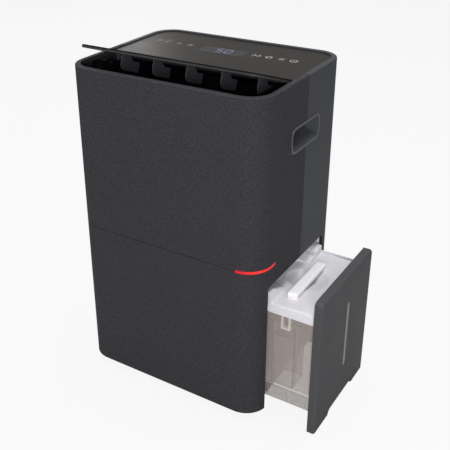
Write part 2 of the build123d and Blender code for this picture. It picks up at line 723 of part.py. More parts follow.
# Deck: the plate above the bay, on the liner and on two legs at the compressor's side
LEG_X0 = -INNER_X + DECK_LEG_IN
with BuildPart() as deck:
    with BuildSketch(Plane.XY.offset(DECK_Z0)):
        RectangleRounded(BODY_W - 2 * (WALL + FIT), BODY_D - 2 * (WALL + FIT), CORNER_R - WALL - FIT)
    extrude(amount=DECK_T)
    for sign in (-1, 1):
        leg_y = sign * DECK_LEG_Y
        block(
            (LEG_X0, LEG_X0 + DECK_LEG),
            (leg_y - DECK_LEG / 2, leg_y + DECK_LEG / 2),
            (PAN_TOP, DECK_Z0),
        )
    rod((SPOUT_X, INLET_Y, DECK_Z0), (0, 0, 1), SPOUT_R + FIT, DECK_T, Mode.SUBTRACT)
    rod((COMP_X + DISCHARGE_X, 0, DECK_Z0), (0, 0, 1), PIPE_HOLE, DECK_T, Mode.SUBTRACT)
    rod((-COIL_X - PIPE_OUT, SUCTION_Y, DECK_Z0), (0, 0, 1), PIPE_HOLE, DECK_T, Mode.SUBTRACT)
deck.part.label = "deck"
export_step(deck.part, "parts/deck.step")

# Compressor: a domed steel can on a round base plate, with its two pipe stubs
with BuildPart() as compressor:
    rod((COMP_X, 0, COMP_Z0), (0, 0, 1), COMP_PLATE_R, COMP_PLATE_T)
    rod((COMP_X, 0, COMP_Z0 + COMP_PLATE_T), (0, 0, 1), COMP_R, COMP_H)
    fillet(compressor.faces().sort_by(Axis.Z)[-1].edges(), COMP_DOME)
    rod((COMP_X + DISCHARGE_X, 0, COMP_TOP - COMP_DOME), (0, 0, 1), PIPE_R, COMP_DOME + STUB_L)
    rod((COMP_X, SUCTION_Y, COMP_TOP - COMP_DOME), (0, 0, 1), PIPE_R, COMP_DOME + STUB_L)
compressor.part.label = "compressor"
export_step(compressor.part, "parts/compressor.step")

# Rubber mounts below the compressor's plate
with BuildPart() as compressor_mounts:
    with Locations((COMP_X, 0, PAN_TOP)):
        with PolarLocations(MOUNT_AT, 3):
            Cylinder(MOUNT_R, MOUNT_H, align=(Align.CENTER, Align.CENTER, Align.MIN))
compressor_mounts.part.label = "compressor_mounts"
export_step(compressor_mounts.part, "parts/compressor_mounts.step")


def finned_coil(y0, stub_z):
    """A tube-and-fin coil: a block with gaps between its fins and tubes, and a pipe stub at its left end."""
    with BuildPart() as coil:
        block((-COIL_X, COIL_X), (y0, y0 + COIL_T), (COIL_Z0, COIL_Z1))
        pitch = 2 * (COIL_X - FIN_EDGE) / FINS
        rise = (COIL_Z1 - COIL_Z0 - 2 * FIN_EDGE + TUBE_H) / TUBE_ROWS
        with BuildSketch(Plane.XZ.offset(-y0 - COIL_T)):
            with Locations((0, (COIL_Z0 + COIL_Z1) / 2)):
                with GridLocations(pitch, rise, FINS, TUBE_ROWS):
                    Rectangle(pitch - FIN_T, rise - TUBE_H)
        extrude(amount=COIL_T, mode=Mode.SUBTRACT)
        rod((-COIL_X, y0 + COIL_T / 2, stub_z), (-1, 0, 0), PIPE_R, STUB_L)
    return coil.part


# Evaporator at the rear and condenser ahead of it
EVAP_STUB_Z = DECK_TOP + EVAP_STUB_UP
COND_STUB_Z = DECK_TOP + DISCHARGE_UP
evaporator = finned_coil(EVAP_Y0, EVAP_STUB_Z)
evaporator.label = "evaporator"
export_step(evaporator, "parts/evaporator.step")

condenser = finned_coil(COND_Y0, COND_STUB_Z)
condenser.label = "condenser"
export_step(condenser, "parts/condenser.step")


def pipe(points):
    """A bent copper pipe along straight runs joined by arcs."""
    with BuildPart() as tube:
        with BuildLine() as route:
            FilletPolyline(*points, radius=PIPE_BEND)
        with BuildSketch(Plane(origin=points[0], z_dir=Vector(*points[1]) - Vector(*points[0]))):
            Circle(PIPE_R)
        sweep(path=route.line)
    return tube.part


# Refrigerant pipes between the compressor and the two coils
COND_STUB_Y = COND_Y0 + COIL_T / 2
EVAP_STUB_Y = EVAP_Y0 + COIL_T / 2
PIPE_X = -COIL_X - PIPE_OUT
SUCTION_Z = COMP_TOP + SUCTION_UP
discharge_pipe = pipe(
    (
        (COMP_X + DISCHARGE_X, 0, COMP_TOP + STUB_L),
        (COMP_X + DISCHARGE_X, 0, COND_STUB_Z),
        (PIPE_X, 0, COND_STUB_Z),
        (PIPE_X, COND_STUB_Y, COND_STUB_Z),
        (-COIL_X - STUB_L, COND_STUB_Y, COND_STUB_Z),
    )
)
discharge_pipe.label = "discharge_pipe"
export_step(discharge_pipe, "parts/discharge_pipe.step")

suction_pipe = pipe(
    (
        (COMP_X, SUCTION_Y, COMP_TOP + STUB_L),
        (COMP_X, SUCTION_Y, SUCTION_Z),
        (PIPE_X, SUCTION_Y, SUCTION_Z),
        (PIPE_X, SUCTION_Y, EVAP_STUB_Z),
        (PIPE_X, EVAP_STUB_Y, EVAP_STUB_Z),
        (-COIL_X - STUB_L, EVAP_STUB_Y, EVAP_STUB_Z),
    )
)
suction_pipe.label = "suction_pipe"
export_step(suction_pipe, "parts/suction_pipe.step")

# Drip tray below the coils, with the spout that drains into the tank
TRAY_X = COIL_X + TRAY_SIDE
TRAY_Y0 = COND_Y0 - TRAY_SIDE
TRAY_Y1 = EVAP_Y1 + TRAY_SIDE
with BuildPart() as drip_tray:
    block((-TRAY_X, TRAY_X), (TRAY_Y0, TRAY_Y1), (DECK_TOP, DECK_TOP + DRIP_H))
    block(
        (-TRAY_X + DRIP_WALL, TRAY_X - DRIP_WALL),
        (TRAY_Y0 + DRIP_WALL, TRAY_Y1 - DRIP_WALL),
        (DECK_TOP + DRIP_T, DECK_TOP + DRIP_H),
        Mode.SUBTRACT,
    )
    rod((SPOUT_X, INLET_Y, SPOUT_Z0), (0, 0, 1), SPOUT_R, DECK_TOP - SPOUT_Z0)
    rod((SPOUT_X, INLET_Y, SPOUT_Z0), (0, 0, 1), SPOUT_BORE, DECK_TOP + DRIP_T - SPOUT_Z0, Mode.SUBTRACT)
drip_tray.part.label = "drip_tray"
export_step(drip_tray.part, "parts/drip_tray.step")

# Blower scroll: a round chamber on a pedestal, with its outlet going up into the duct
OUTLET_X0 = -SCROLL_R
OUTLET_X1 = -SCROLL_R + SCROLL_OUT
with BuildPart() as blower_scroll:
    with BuildSketch(Plane.XZ.offset(-SCROLL_Y1)):
        with Locations((0, FAN_Z)):
            Circle(SCROLL_R)
        with Locations(((OUTLET_X0 + OUTLET_X1) / 2, (FAN_Z + DUCT_Z0) / 2)):
            Rectangle(SCROLL_OUT, DUCT_Z0 - FAN_Z)
        with Locations((0, (DECK_TOP + FAN_Z) / 2)):
            Rectangle(2 * PEDESTAL, FAN_Z - DECK_TOP)
    extrude(amount=SCROLL_D)
    with BuildSketch(Plane.XZ.offset(-SCROLL_Y1 + SCROLL_WALL)):
        with Locations((0, FAN_Z)):
            Circle(SCROLL_R - SCROLL_WALL)
        with Locations(((OUTLET_X0 + OUTLET_X1) / 2, (FAN_Z + DUCT_Z0) / 2)):
            Rectangle(SCROLL_OUT - 2 * SCROLL_WALL, DUCT_Z0 - FAN_Z)
    extrude(amount=SCROLL_D - 2 * SCROLL_WALL, mode=Mode.SUBTRACT)
    rod((0, SCROLL_Y1, FAN_Z), (0, -1, 0), FAN_R - BLADE_L, SCROLL_WALL, Mode.SUBTRACT)
    rod((0, SCROLL_Y0, FAN_Z), (0, 1, 0), SHAFT_HOLE, SCROLL_WALL, Mode.SUBTRACT)
blower_scroll.part.label = "blower_scroll"
export_step(blower_scroll.part, "parts/blower_scroll.step")

# Fan wheel with its shaft
BLADE_AT = FAN_R - BLADE_L / 2
with BuildPart() as fan_wheel:
    rod((0, FAN_Y0, FAN_Z), (0, 1, 0), FAN_R, FAN_PLATE)
    rod((0, FAN_Y0, FAN_Z), (0, 1, 0), FAN_HUB_R, FAN_HUB_L)
    shaft_l = FAN_Y0 + FAN_HUB_L - SCROLL_Y0 + FAN_SHAFT_IN
    rod((0, SCROLL_Y0 - FAN_SHAFT_IN, FAN_Z), (0, 1, 0), FAN_SHAFT_R, shaft_l)
    with BuildSketch(Plane.XZ.offset(-FAN_Y0)):
        with Locations((0, FAN_Z)):
            with PolarLocations(BLADE_AT, BLADES):
                Rectangle(BLADE_L, BLADE_T, rotation=BLADE_TURN)
    extrude(amount=-(FAN_Y1 - FAN_Y0))
    with BuildSketch(Plane.XZ.offset(-FAN_Y1)):
        with Locations((0, FAN_Z)):
            Circle(FAN_R)
            Circle(FAN_R - BLADE_L, mode=Mode.SUBTRACT)
    extrude(amount=FAN_PLATE)
fan_wheel.part.label = "fan_wheel"
export_step(fan_wheel.part, "parts/fan_wheel.step")

# Fan motor on the scroll's front face
with BuildPart() as fan_motor:
    rod((0, SCROLL_Y0, FAN_Z), (0, -1, 0), FAN_MOTOR_R, FAN_MOTOR_L)
    fillet(fan_motor.faces().sort_by(Axis.Y)[0].edges(), FAN_MOTOR_R / 5)
    rod((0, SCROLL_Y0, FAN_Z), (0, -1, 0), FAN_SHAFT_R + PIN_PLAY, FAN_SHAFT_IN + RUN, Mode.SUBTRACT)
fan_motor.part.label = "fan_motor"
export_step(fan_motor.part, "parts/fan_motor.step")

# Outlet duct: from the scroll forward under the controls to the open top
duct_outline = (
    (DUCT_Y0, DUCT_Z1),
    (DUCT_Y0, DUCT_Z1 - DUCT_LIP),
    (DUCT_Y0 + DUCT_SLOPE, DUCT_Z0),
    (SCROLL_Y1, DUCT_Z0),
    (SCROLL_Y1, DUCT_Z0 + DUCT_BACK),
    (CEILING_Y, DUCT_Z1),
)
with BuildPart() as outlet_duct:
    with BuildSketch(Plane.YZ.offset(-DUCT_X)):
        Polygon(*duct_outline, align=None)
    extrude(amount=2 * DUCT_X)
    with BuildSketch(Plane.YZ.offset(-DUCT_X + DUCT_T)):
        Polygon(*duct_outline, align=None)
        offset(amount=-DUCT_T, kind=Kind.INTERSECTION)
    extrude(amount=2 * (DUCT_X - DUCT_T), mode=Mode.SUBTRACT)
    block(
        (-DUCT_X + DUCT_T, DUCT_X - DUCT_T),
        (DUCT_Y0 + DUCT_T, GLASS_Y0 + DUCT_T),
        (DUCT_Z1 - DUCT_LIP / 2, DUCT_Z1),
        Mode.SUBTRACT,
    )
    block(
        (OUTLET_X0 + SCROLL_WALL, OUTLET_X1 - SCROLL_WALL),
        (SCROLL_Y0 + SCROLL_WALL, SCROLL_Y1 - SCROLL_WALL),
        (DUCT_Z0, DUCT_Z0 + DUCT_T),
        Mode.SUBTRACT,
    )
outlet_duct.part.label = "outlet_duct"
export_step(outlet_duct.part, "parts/outlet_duct.step")

# Control tray under the rim, with the display's window and the board's bosses
BOARD_CORNERS = [
    (sx * (BOARD_W / 2 - BOSS_IN), y)
    for sx in (-1, 1)
    for y in (BOARD_Y0 + BOSS_IN, BOARD_Y0 + BOARD_D - BOSS_IN)
]
with BuildPart() as control_tray:
    with BuildSketch(Plane.XY.offset(TRAY_Z0)):
        RectangleRounded(BODY_W - 2 * (WALL + FIT), BODY_D - 2 * (WALL + FIT), CORNER_R - WALL - FIT)
    extrude(amount=TRAY_T)
    with BuildSketch(Plane.XY.offset(TRAY_Z1)):
        RectangleRounded(BODY_W - 2 * (RIM_W + FIT), BODY_D - 2 * (RIM_W + FIT), CORNER_R - RIM_W - FIT)
    extrude(amount=GLASS_Z0 - TRAY_Z1)
    block((-HALF_W, HALF_W), (-HALF_D, GLASS_Y0 + TRAY_BACK), (TRAY_Z0, GLASS_Z0), Mode.SUBTRACT)
    block(
        (-DISPLAY_W / 2 - FIT, DISPLAY_W / 2 + FIT),
        (DISPLAY_Y - DISPLAY_D / 2 - FIT, DISPLAY_Y + DISPLAY_D / 2 + FIT),
        (TRAY_Z0, GLASS_Z0),
        Mode.SUBTRACT,
    )
    for x, y in BOARD_CORNERS:
        rod((x, y, BOARD_Z1), (0, 0, 1), BOSS_R, BOARD_DROP)
control_tray.part.label = "control_tray"
export_step(control_tray.part, "parts/control_tray.step")

# Control board below the tray, and the display on it
with BuildPart() as control_board:
    block((-BOARD_W / 2, BOARD_W / 2), (BOARD_Y0, BOARD_Y0 + BOARD_D), (BOARD_Z1 - BOARD_T, BOARD_Z1))
control_board.part.label = "control_board"
export_step(control_board.part, "parts/control_board.step")

with BuildPart() as display_module:
    block(
        (-DISPLAY_W / 2, DISPLAY_W / 2),
        (DISPLAY_Y - DISPLAY_D / 2, DISPLAY_Y + DISPLAY_D / 2),
        (BOARD_Z1, GLASS_Z0),
    )
display_module.part.label = "display_module"
export_step(display_module.part, "parts/display_module.step")

# Glass over the controls
with BuildPart() as control_glass:
    with BuildSketch(Plane.XY.offset(GLASS_Z0)):
        RectangleRounded(BODY_W - 2 * (RIM_W + FIT), BODY_D - 2 * (RIM_W + FIT), CORNER_R - RIM_W - FIT)
    extrude(amount=GLASS_T)
    block((-HALF_W, HALF_W), (-HALF_D, GLASS_Y0), (GLASS_Z0, GLASS_Z0 + GLASS_T), Mode.SUBTRACT)
control_glass.part.label = "control_glass"
export_step(control_glass.part, "parts/control_glass.step")

# Outlet flap, drawn shut and then turned open about its hinge
with BuildPart() as flap_shut:
    with BuildSketch(Plane.XY.offset(HINGE_Z - FLAP_T / 2)):
        RectangleRounded(2 * FLAP_X, BODY_D - 2 * (RIM_W + FLAP_GAP), CORNER_R - RIM_W - FLAP_GAP)
    extrude(amount=FLAP_T)
    block((-HALF_W, HALF_W), (HINGE_Y, HALF_D), (HINGE_Z - FLAP_T, HINGE_Z + FLAP_T), Mode.SUBTRACT)
    fillet(flap_shut.faces().sort_by(Axis.Z)[-1].edges(), FLAP_ROUND)
    rod((-FLAP_X, HINGE_Y, HINGE_Z), (1, 0, 0), KNUCKLE_R, 2 * FLAP_X)
    rod((-FLAP_X - PIN_L, HINGE_Y, HINGE_Z), (1, 0, 0), PIN_R, 2 * (FLAP_X + PIN_L))
outlet_flap = flap_shut.part.rotate(HINGE_AXIS, -FLAP_OPEN)
outlet_flap.label = "outlet_flap"
export_step(outlet_flap, "parts/outlet_flap.step")

# Guide vanes and the drive arm below the flap, which turn with it
UNDER = HINGE_Z - FLAP_T / 2
VANE_TOP = DUCT_Z1 - DUCT_T - VANE_ROOM
vane_corner = (HINGE_Y - VANE_FRONT, HINGE_Z - VANE_DEPTH)
vane_outline = (
    (HINGE_Y - VANE_FRONT, UNDER),
    vane_corner,
    (HINGE_Y + VANE_TAIL, HINGE_Z - VANE_DEPTH),
    (HINGE_Y + VANE_TAIL, VANE_TOP),
    (GLASS_Y0 + DUCT_T - VANE_ROOM, VANE_TOP),
    (HINGE_Y - 2 * KNUCKLE_R, UNDER),
)
arm_outline = (
    (HINGE_Y - CRANK, UNDER),
    (HINGE_Y - LINK_R, HINGE_Z - CRANK - LINK_R),
    (HINGE_Y + LINK_R, HINGE_Z - CRANK - LINK_R),
    (HINGE_Y + LINK_R, HINGE_Z - CRANK + LINK_R),
    (HINGE_Y - 2 * KNUCKLE_R, UNDER),
)
with BuildPart() as vanes_shut:
    for i in range(VANES):
        vane_x = (i - (VANES - 1) / 2) * VANE_PITCH
        with BuildSketch(Plane.YZ.offset(vane_x - VANE_T / 2)) as vane:
            Polygon(*vane_outline, align=None)
            fillet(vane.vertices().sort_by_distance(vane_corner)[0], VANE_R)
        extrude(amount=VANE_T)
    with BuildSketch(Plane.YZ.offset(ARM_X0)):
        Polygon(*arm_outline, align=None)
    extrude(amount=CRANK_T)
    rod((ARM_X0, HINGE_Y, HINGE_Z - CRANK), (-1, 0, 0), PIN_R, LAYER_GAP + LINK_T)
guide_vanes = vanes_shut.part.rotate(HINGE_AXIS, -FLAP_OPEN)
guide_vanes.label = "guide_vanes"
export_step(guide_vanes, "parts/guide_vanes.step")

# Flap motor on the casing's left wall, with its two screws
with BuildPart() as flap_motor:
    rod((-INNER_X, MOTOR_Y, MOTOR_Z), (1, 0, 0), MOTOR_R, MOTOR_X1 + INNER_X)
    block(
        (MOTOR_X1 - EAR_T, MOTOR_X1),
        (MOTOR_Y, MOTOR_Y + EAR_REACH),
        (MOTOR_Z - EAR_H / 2, MOTOR_Z + EAR_H / 2),
    )
    rod((MOTOR_X1, MOTOR_Y, MOTOR_Z), (1, 0, 0), SHAFT_R, LAYER_GAP + CRANK_T)
    for z in EAR_SCREW_ZS:
        rod((MOTOR_X1, EAR_SCREW_Y, z), (-1, 0, 0), SCREW_R + PIN_PLAY, EAR_T, Mode.SUBTRACT)
flap_motor.part.label = "flap_motor"
export_step(flap_motor.part, "parts/flap_motor.step")

# Crank on the motor's shaft
crank_pin = (MOTOR_Y + CRANK_DY, MOTOR_Z + CRANK_DZ)
with BuildPart() as flap_crank:
    with BuildSketch(Plane.YZ.offset(CRANK_X0)):
        with Locations((MOTOR_Y, MOTOR_Z)):
            Circle(HUB_R)
        with Locations(crank_pin):
            Circle(LINK_R)
        make_hull()
        with Locations((MOTOR_Y, MOTOR_Z)):
            Circle(SHAFT_R + PIN_PLAY, mode=Mode.SUBTRACT)
    extrude(amount=CRANK_T)
    rod((CRANK_X1, *crank_pin), (1, 0, 0), PIN_R, LAYER_GAP + LINK_T)
flap_crank.part.label = "flap_crank"
export_step(flap_crank.part, "parts/flap_crank.step")

# Link from the crank to the flap's drive arm
arm_pin = (HINGE_Y + CRANK_DY, HINGE_Z + CRANK_DZ)
with BuildPart() as flap_link:
    with BuildSketch(Plane.YZ.offset(LINK_X0)):
        with Locations(crank_pin, arm_pin):
            Circle(LINK_R)
        make_hull()
        with Locations(crank_pin):
            Circle(PIN_R + PIN_PLAY, mode=Mode.SUBTRACT)
        with Locations(arm_pin):
            Circle(PIN_R + OPEN_PLAY, mode=Mode.SUBTRACT)
    extrude(amount=LINK_T)
flap_link.part.label = "flap_link"
export_step(flap_link.part, "parts/flap_link.step")

# Screws through the flap motor's ear into the front shell's posts
with BuildPart() as motor_screws:
    for z in EAR_SCREW_ZS:
        rod((MOTOR_X1, EAR_SCREW_Y, z), (1, 0, 0), SCREW_HEAD_R, SCREW_HEAD_T)
        rod((MOTOR_X1, EAR_SCREW_Y, z), (-1, 0, 0), SCREW_R, SCREW_L)
motor_screws.part.label = "motor_screws"
export_step(motor_screws.part, "parts/motor_screws.step")

# Power box and run capacitor on the deck, humidity sensor on the rear wall
with BuildPart() as power_box:
    block(
        (POWER_X - POWER_W / 2, POWER_X + POWER_W / 2),
        (-INNER_Y + POWER_FRONT, -INNER_Y + POWER_FRONT + POWER_D),
        (DECK_TOP, DECK_TOP + POWER_H),
    )
    fillet(power_box.edges().filter_by(Axis.Z), POWER_ROUND)
power_box.part.label = "power_box"
export_step(power_box.part, "parts/power_box.step")

with BuildPart() as run_capacitor:
    rod((CAP_X, -INNER_Y + CAP_FRONT, DECK_TOP), (0, 0, 1), CAP_R, CAP_H)
    fillet(run_capacitor.faces().sort_by(Axis.Z)[-1].edges(), CAP_R / 6)
run_capacitor.part.label = "run_capacitor"
export_step(run_capacitor.part, "parts/run_capacitor.step")

with BuildPart() as humidity_sensor:
    block(
        (HUMID_X - HUMID_W / 2, HUMID_X + HUMID_W / 2),
        (INNER_Y - HUMID_T, INNER_Y),
        (TOP - HUMID_DROP - HUMID_H / 2, TOP - HUMID_DROP + HUMID_H / 2),
    )
humidity_sensor.part.label = "humidity_sensor"
export_step(humidity_sensor.part, "parts/humidity_sensor.step")

# Filter cassette: a slatted frame that pulls straight out of the rear shell
FRAME_X = CASSETTE_X - FIT
FRAME_Z0 = CASSETTE_Z0 + FIT
FRAME_Z1 = CASSETTE_Z1 - FIT
FRAME_MID = (FRAME_Z0 + FRAME_Z1) / 2
SLAT_PITCH = (FRAME_Z1 - FRAME_Z0 - 2 * CASSETTE_FRAME) / (SLATS + 1)
UPRIGHT_PITCH = 2 * (FRAME_X - CASSETTE_FRAME) / (UPRIGHTS + 1)
with BuildPart() as filter_grille:
    block((-FRAME_X, FRAME_X), (CASSETTE_Y0, HALF_D), (FRAME_Z0, FRAME_Z1))
    block(
        (-FRAME_X + CASSETTE_FRAME, FRAME_X - CASSETTE_FRAME),
        (CASSETTE_Y0, HALF_D),
        (FRAME_Z0 + CASSETTE_FRAME, FRAME_Z1 - CASSETTE_FRAME),
        Mode.SUBTRACT,
    )
    with BuildSketch(Plane.XZ.offset(-HALF_D)):
        with Locations((0, FRAME_MID)):
            with GridLocations(SLAT_PITCH, SLAT_PITCH, 1, SLATS):
                Rectangle(2 * (FRAME_X - CASSETTE_FRAME), SLAT_H)
            with GridLocations(UPRIGHT_PITCH, UPRIGHT_PITCH, UPRIGHTS, 1):
                Rectangle(UPRIGHT_W, FRAME_Z1 - FRAME_Z0 - 2 * CASSETTE_FRAME)
    extrude(amount=SLAT_T)
filter_grille.part.label = "filter_grille"
export_step(filter_grille.part, "parts/filter_grille.step")

# Filter net on the cassette's inner face
MESH_X = FRAME_X - MESH_IN
MESH_H = FRAME_Z1 - FRAME_Z0 - 2 * MESH_IN
with BuildPart() as filter_mesh:
    with BuildSketch(Plane.XZ.offset(-CASSETTE_Y0)):
        with Locations((0, FRAME_MID)):
            Rectangle(2 * MESH_X, MESH_H)
            with GridLocations(2 * MESH_X / MESH_NX, MESH_H / MESH_NZ, MESH_NX, MESH_NZ):
                Rectangle(2 * MESH_X / MESH_NX - MESH_BAR, MESH_H / MESH_NZ - MESH_BAR, mode=Mode.SUBTRACT)
    extrude(amount=MESH_T)
filter_mesh.part.label = "filter_mesh"
export_step(filter_mesh.part, "parts/filter_mesh.step")

# Continuous drain: a spigot in the rear wall and its turning cap
DRAIN_Z = BOT + DRAIN_UP
SPIGOT_END = HALF_D + DRAIN_FLANGE_T + DRAIN_L
with BuildPart() as drain_spigot:
    rod((DRAIN_X, HALF_D, DRAIN_Z), (0, 1, 0), DRAIN_FLANGE_R, DRAIN_FLANGE_T)
    rod((DRAIN_X, INNER_Y, DRAIN_Z), (0, 1, 0), DRAIN_R, SPIGOT_END - INNER_Y)
    rod((DRAIN_X, INNER_Y, DRAIN_Z), (0, 1, 0), DRAIN_BORE, SPIGOT_END - INNER_Y, Mode.SUBTRACT)
drain_spigot.part.label = "drain_spigot"
export_step(drain_spigot.part, "parts/drain_spigot.step")

CAP_Y0 = HALF_D + DRAIN_FLANGE_T + RUN
CAP_OUT_R = DRAIN_R + PIN_PLAY + CAP_WALL
with BuildPart() as drain_cap:
    with BuildSketch(Plane.XZ.offset(-CAP_Y0)):
        with Locations((DRAIN_X, DRAIN_Z)):
            Circle(CAP_OUT_R)
            with PolarLocations(CAP_OUT_R, CAP_RIBS):
                Circle(CAP_RIB)
    extrude(amount=-(DRAIN_L + CAP_TOP))
    rod((DRAIN_X, CAP_Y0, DRAIN_Z), (0, 1, 0), DRAIN_R + PIN_PLAY, DRAIN_L, Mode.SUBTRACT)
drain_cap.part.label = "drain_cap"
export_step(drain_cap.part, "parts/drain_cap.step")

# Cord gland in the rear wall
with BuildPart() as cord_gland:
    rod((GLAND_X, HALF_D, BOT + GLAND_UP), (0, 1, 0), GLAND_FLANGE_R, GLAND_FLANGE_T)
    rod((GLAND_X, INNER_Y, BOT + GLAND_UP), (0, 1, 0), GLAND_R, HALF_D - INNER_Y)
    rod((GLAND_X, INNER_Y, BOT + GLAND_UP), (0, 1, 0), GLAND_BORE, WALL + GLAND_FLANGE_T, Mode.SUBTRACT)
cord_gland.part.label = "cord_gland"
export_step(cord_gland.part, "parts/cord_gland.step")

# Tank front panel: a rounded slab with a finger notch between two legs and the window's slit
NOTCH_Y0 = PANEL_Y0 + NOTCH_FRONT
NOTCH_Y1 = PANEL_Y1 - NOTCH_REAR
notch_outline = (
    (NOTCH_Y0, PANEL_Z0),
    (NOTCH_Y0, PANEL_Z0 + NOTCH_H),
    (NOTCH_Y1, PANEL_Z0 + NOTCH_H),
    (NOTCH_Y1 + NOTCH_SLANT, PANEL_Z0),
)
with BuildPart() as tank_panel:
    block((PANEL_IN, PANEL_OUT), (PANEL_Y0, PANEL_Y1), (PANEL_Z0, PANEL_Z1))
    fillet(tank_panel.edges().filter_by(Axis.X).group_by(Axis.Z)[-1], MOUTH_R - PANEL_GAP)
    fillet(tank_panel.faces().sort_by(Axis.X)[-1].edges(), PANEL_ROUND)
    with BuildSketch(Plane.YZ.offset(PANEL_IN)) as notch:
        Polygon(*notch_outline, align=None)
        fillet(notch.vertices().sort_by_distance(notch_outline[1])[0], NOTCH_R)
    extrude(amount=PANEL_T, mode=Mode.SUBTRACT)
    block(
        (PANEL_IN, PANEL_OUT - PANEL_SKIN),
        (TANK_Y0 + TANK_WALL, TANK_Y1 - TANK_WALL),
        (TANK_Z0 + TANK_WALL, WINDOW_Z1 + WINDOW_LIP + FIT),
        Mode.SUBTRACT,
    )
    block(
        (PANEL_OUT - PANEL_SKIN, PANEL_OUT),
        (WINDOW_Y - WINDOW_W / 2, WINDOW_Y + WINDOW_W / 2),
        (WINDOW_Z0, WINDOW_Z1),
        Mode.SUBTRACT,
    )
tank_panel.part.label = "tank_panel"
export_step(tank_panel.part, "parts/tank_panel.step")

# Clear level window in the panel's slit, with a lip behind it
with BuildPart() as level_window:
    block(
        (PANEL_OUT - PANEL_SKIN, PANEL_OUT - FIT),
        (WINDOW_Y - WINDOW_W / 2 + FIT / 2, WINDOW_Y + WINDOW_W / 2 - FIT / 2),
        (WINDOW_Z0 + FIT / 2, WINDOW_Z1 - FIT / 2),
    )
    block(
        (PANEL_OUT - PANEL_SKIN - WINDOW_LIP_T, PANEL_OUT - PANEL_SKIN),
        (WINDOW_Y - WINDOW_W / 2 - WINDOW_LIP, WINDOW_Y + WINDOW_W / 2 + WINDOW_LIP),
        (WINDOW_Z0 - WINDOW_LIP, WINDOW_Z1 + WINDOW_LIP),
    )
level_window.part.label = "level_window"
export_step(level_window.part, "parts/level_window.step")

# Tank: a clear bucket whose walls run down past its floor as a skirt with sunk panels, and the float's guides
with BuildPart() as tank_body:
    block((TANK_X0, PANEL_IN), (TANK_Y0, TANK_Y1), (TANK_Z0, TANK_Z1))
    fillet(tank_body.edges().filter_by(Axis.Z).group_by(Axis.X)[0], TANK_R)
    with BuildSketch(Plane.XY.offset(TANK_Z1)) as cavity:
        with Locations(((TANK_X0 + PANEL_IN) / 2, TANK_MID_Y)):
            Rectangle(TANK_L - 2 * TANK_WALL, TANK_Y1 - TANK_Y0 - 2 * TANK_WALL)
        fillet(cavity.vertices().group_by(Axis.X)[0], TANK_R - TANK_WALL)
    extrude(amount=-(TANK_Z1 - TANK_FLOOR), mode=Mode.SUBTRACT)
    hollow = cavity.sketch.moved(Location((0, 0, TANK_Z0 - TANK_Z1)))
    extrude(hollow, amount=TANK_FLOOR_UP - TANK_WALL, mode=Mode.SUBTRACT)
    for face, sign in ((TANK_Y0, -1), (TANK_Y1, 1)):
        with BuildSketch(Plane.XZ.offset(-face)):
            with Locations(((TANK_X0 + PANEL_IN) / 2, TANK_Z0 + TANK_FLOOR_UP / 2)):
                with GridLocations(SKIRT_PITCH, SKIRT_PITCH, SKIRT_WINDOWS, 1):
                    Rectangle(SKIRT_WINDOW_W, SKIRT_WINDOW_H)
        extrude(amount=sign * SKIRT_SINK, mode=Mode.SUBTRACT)
    for x in (FLOAT_X0 - FLOAT_PLAY - GUIDE_T, FLOAT_X1 + FLOAT_PLAY):
        block(
            (x, x + GUIDE_T),
            (TANK_Y0 + TANK_WALL / 2, TANK_Y0 + TANK_WALL + GUIDE_D),
            (TANK_FLOOR - TANK_WALL / 2, FLOAT_Z1 + GUIDE_UP),
        )
tank_body.part.label = "tank_body"
export_step(tank_body.part, "parts/tank_body.step")

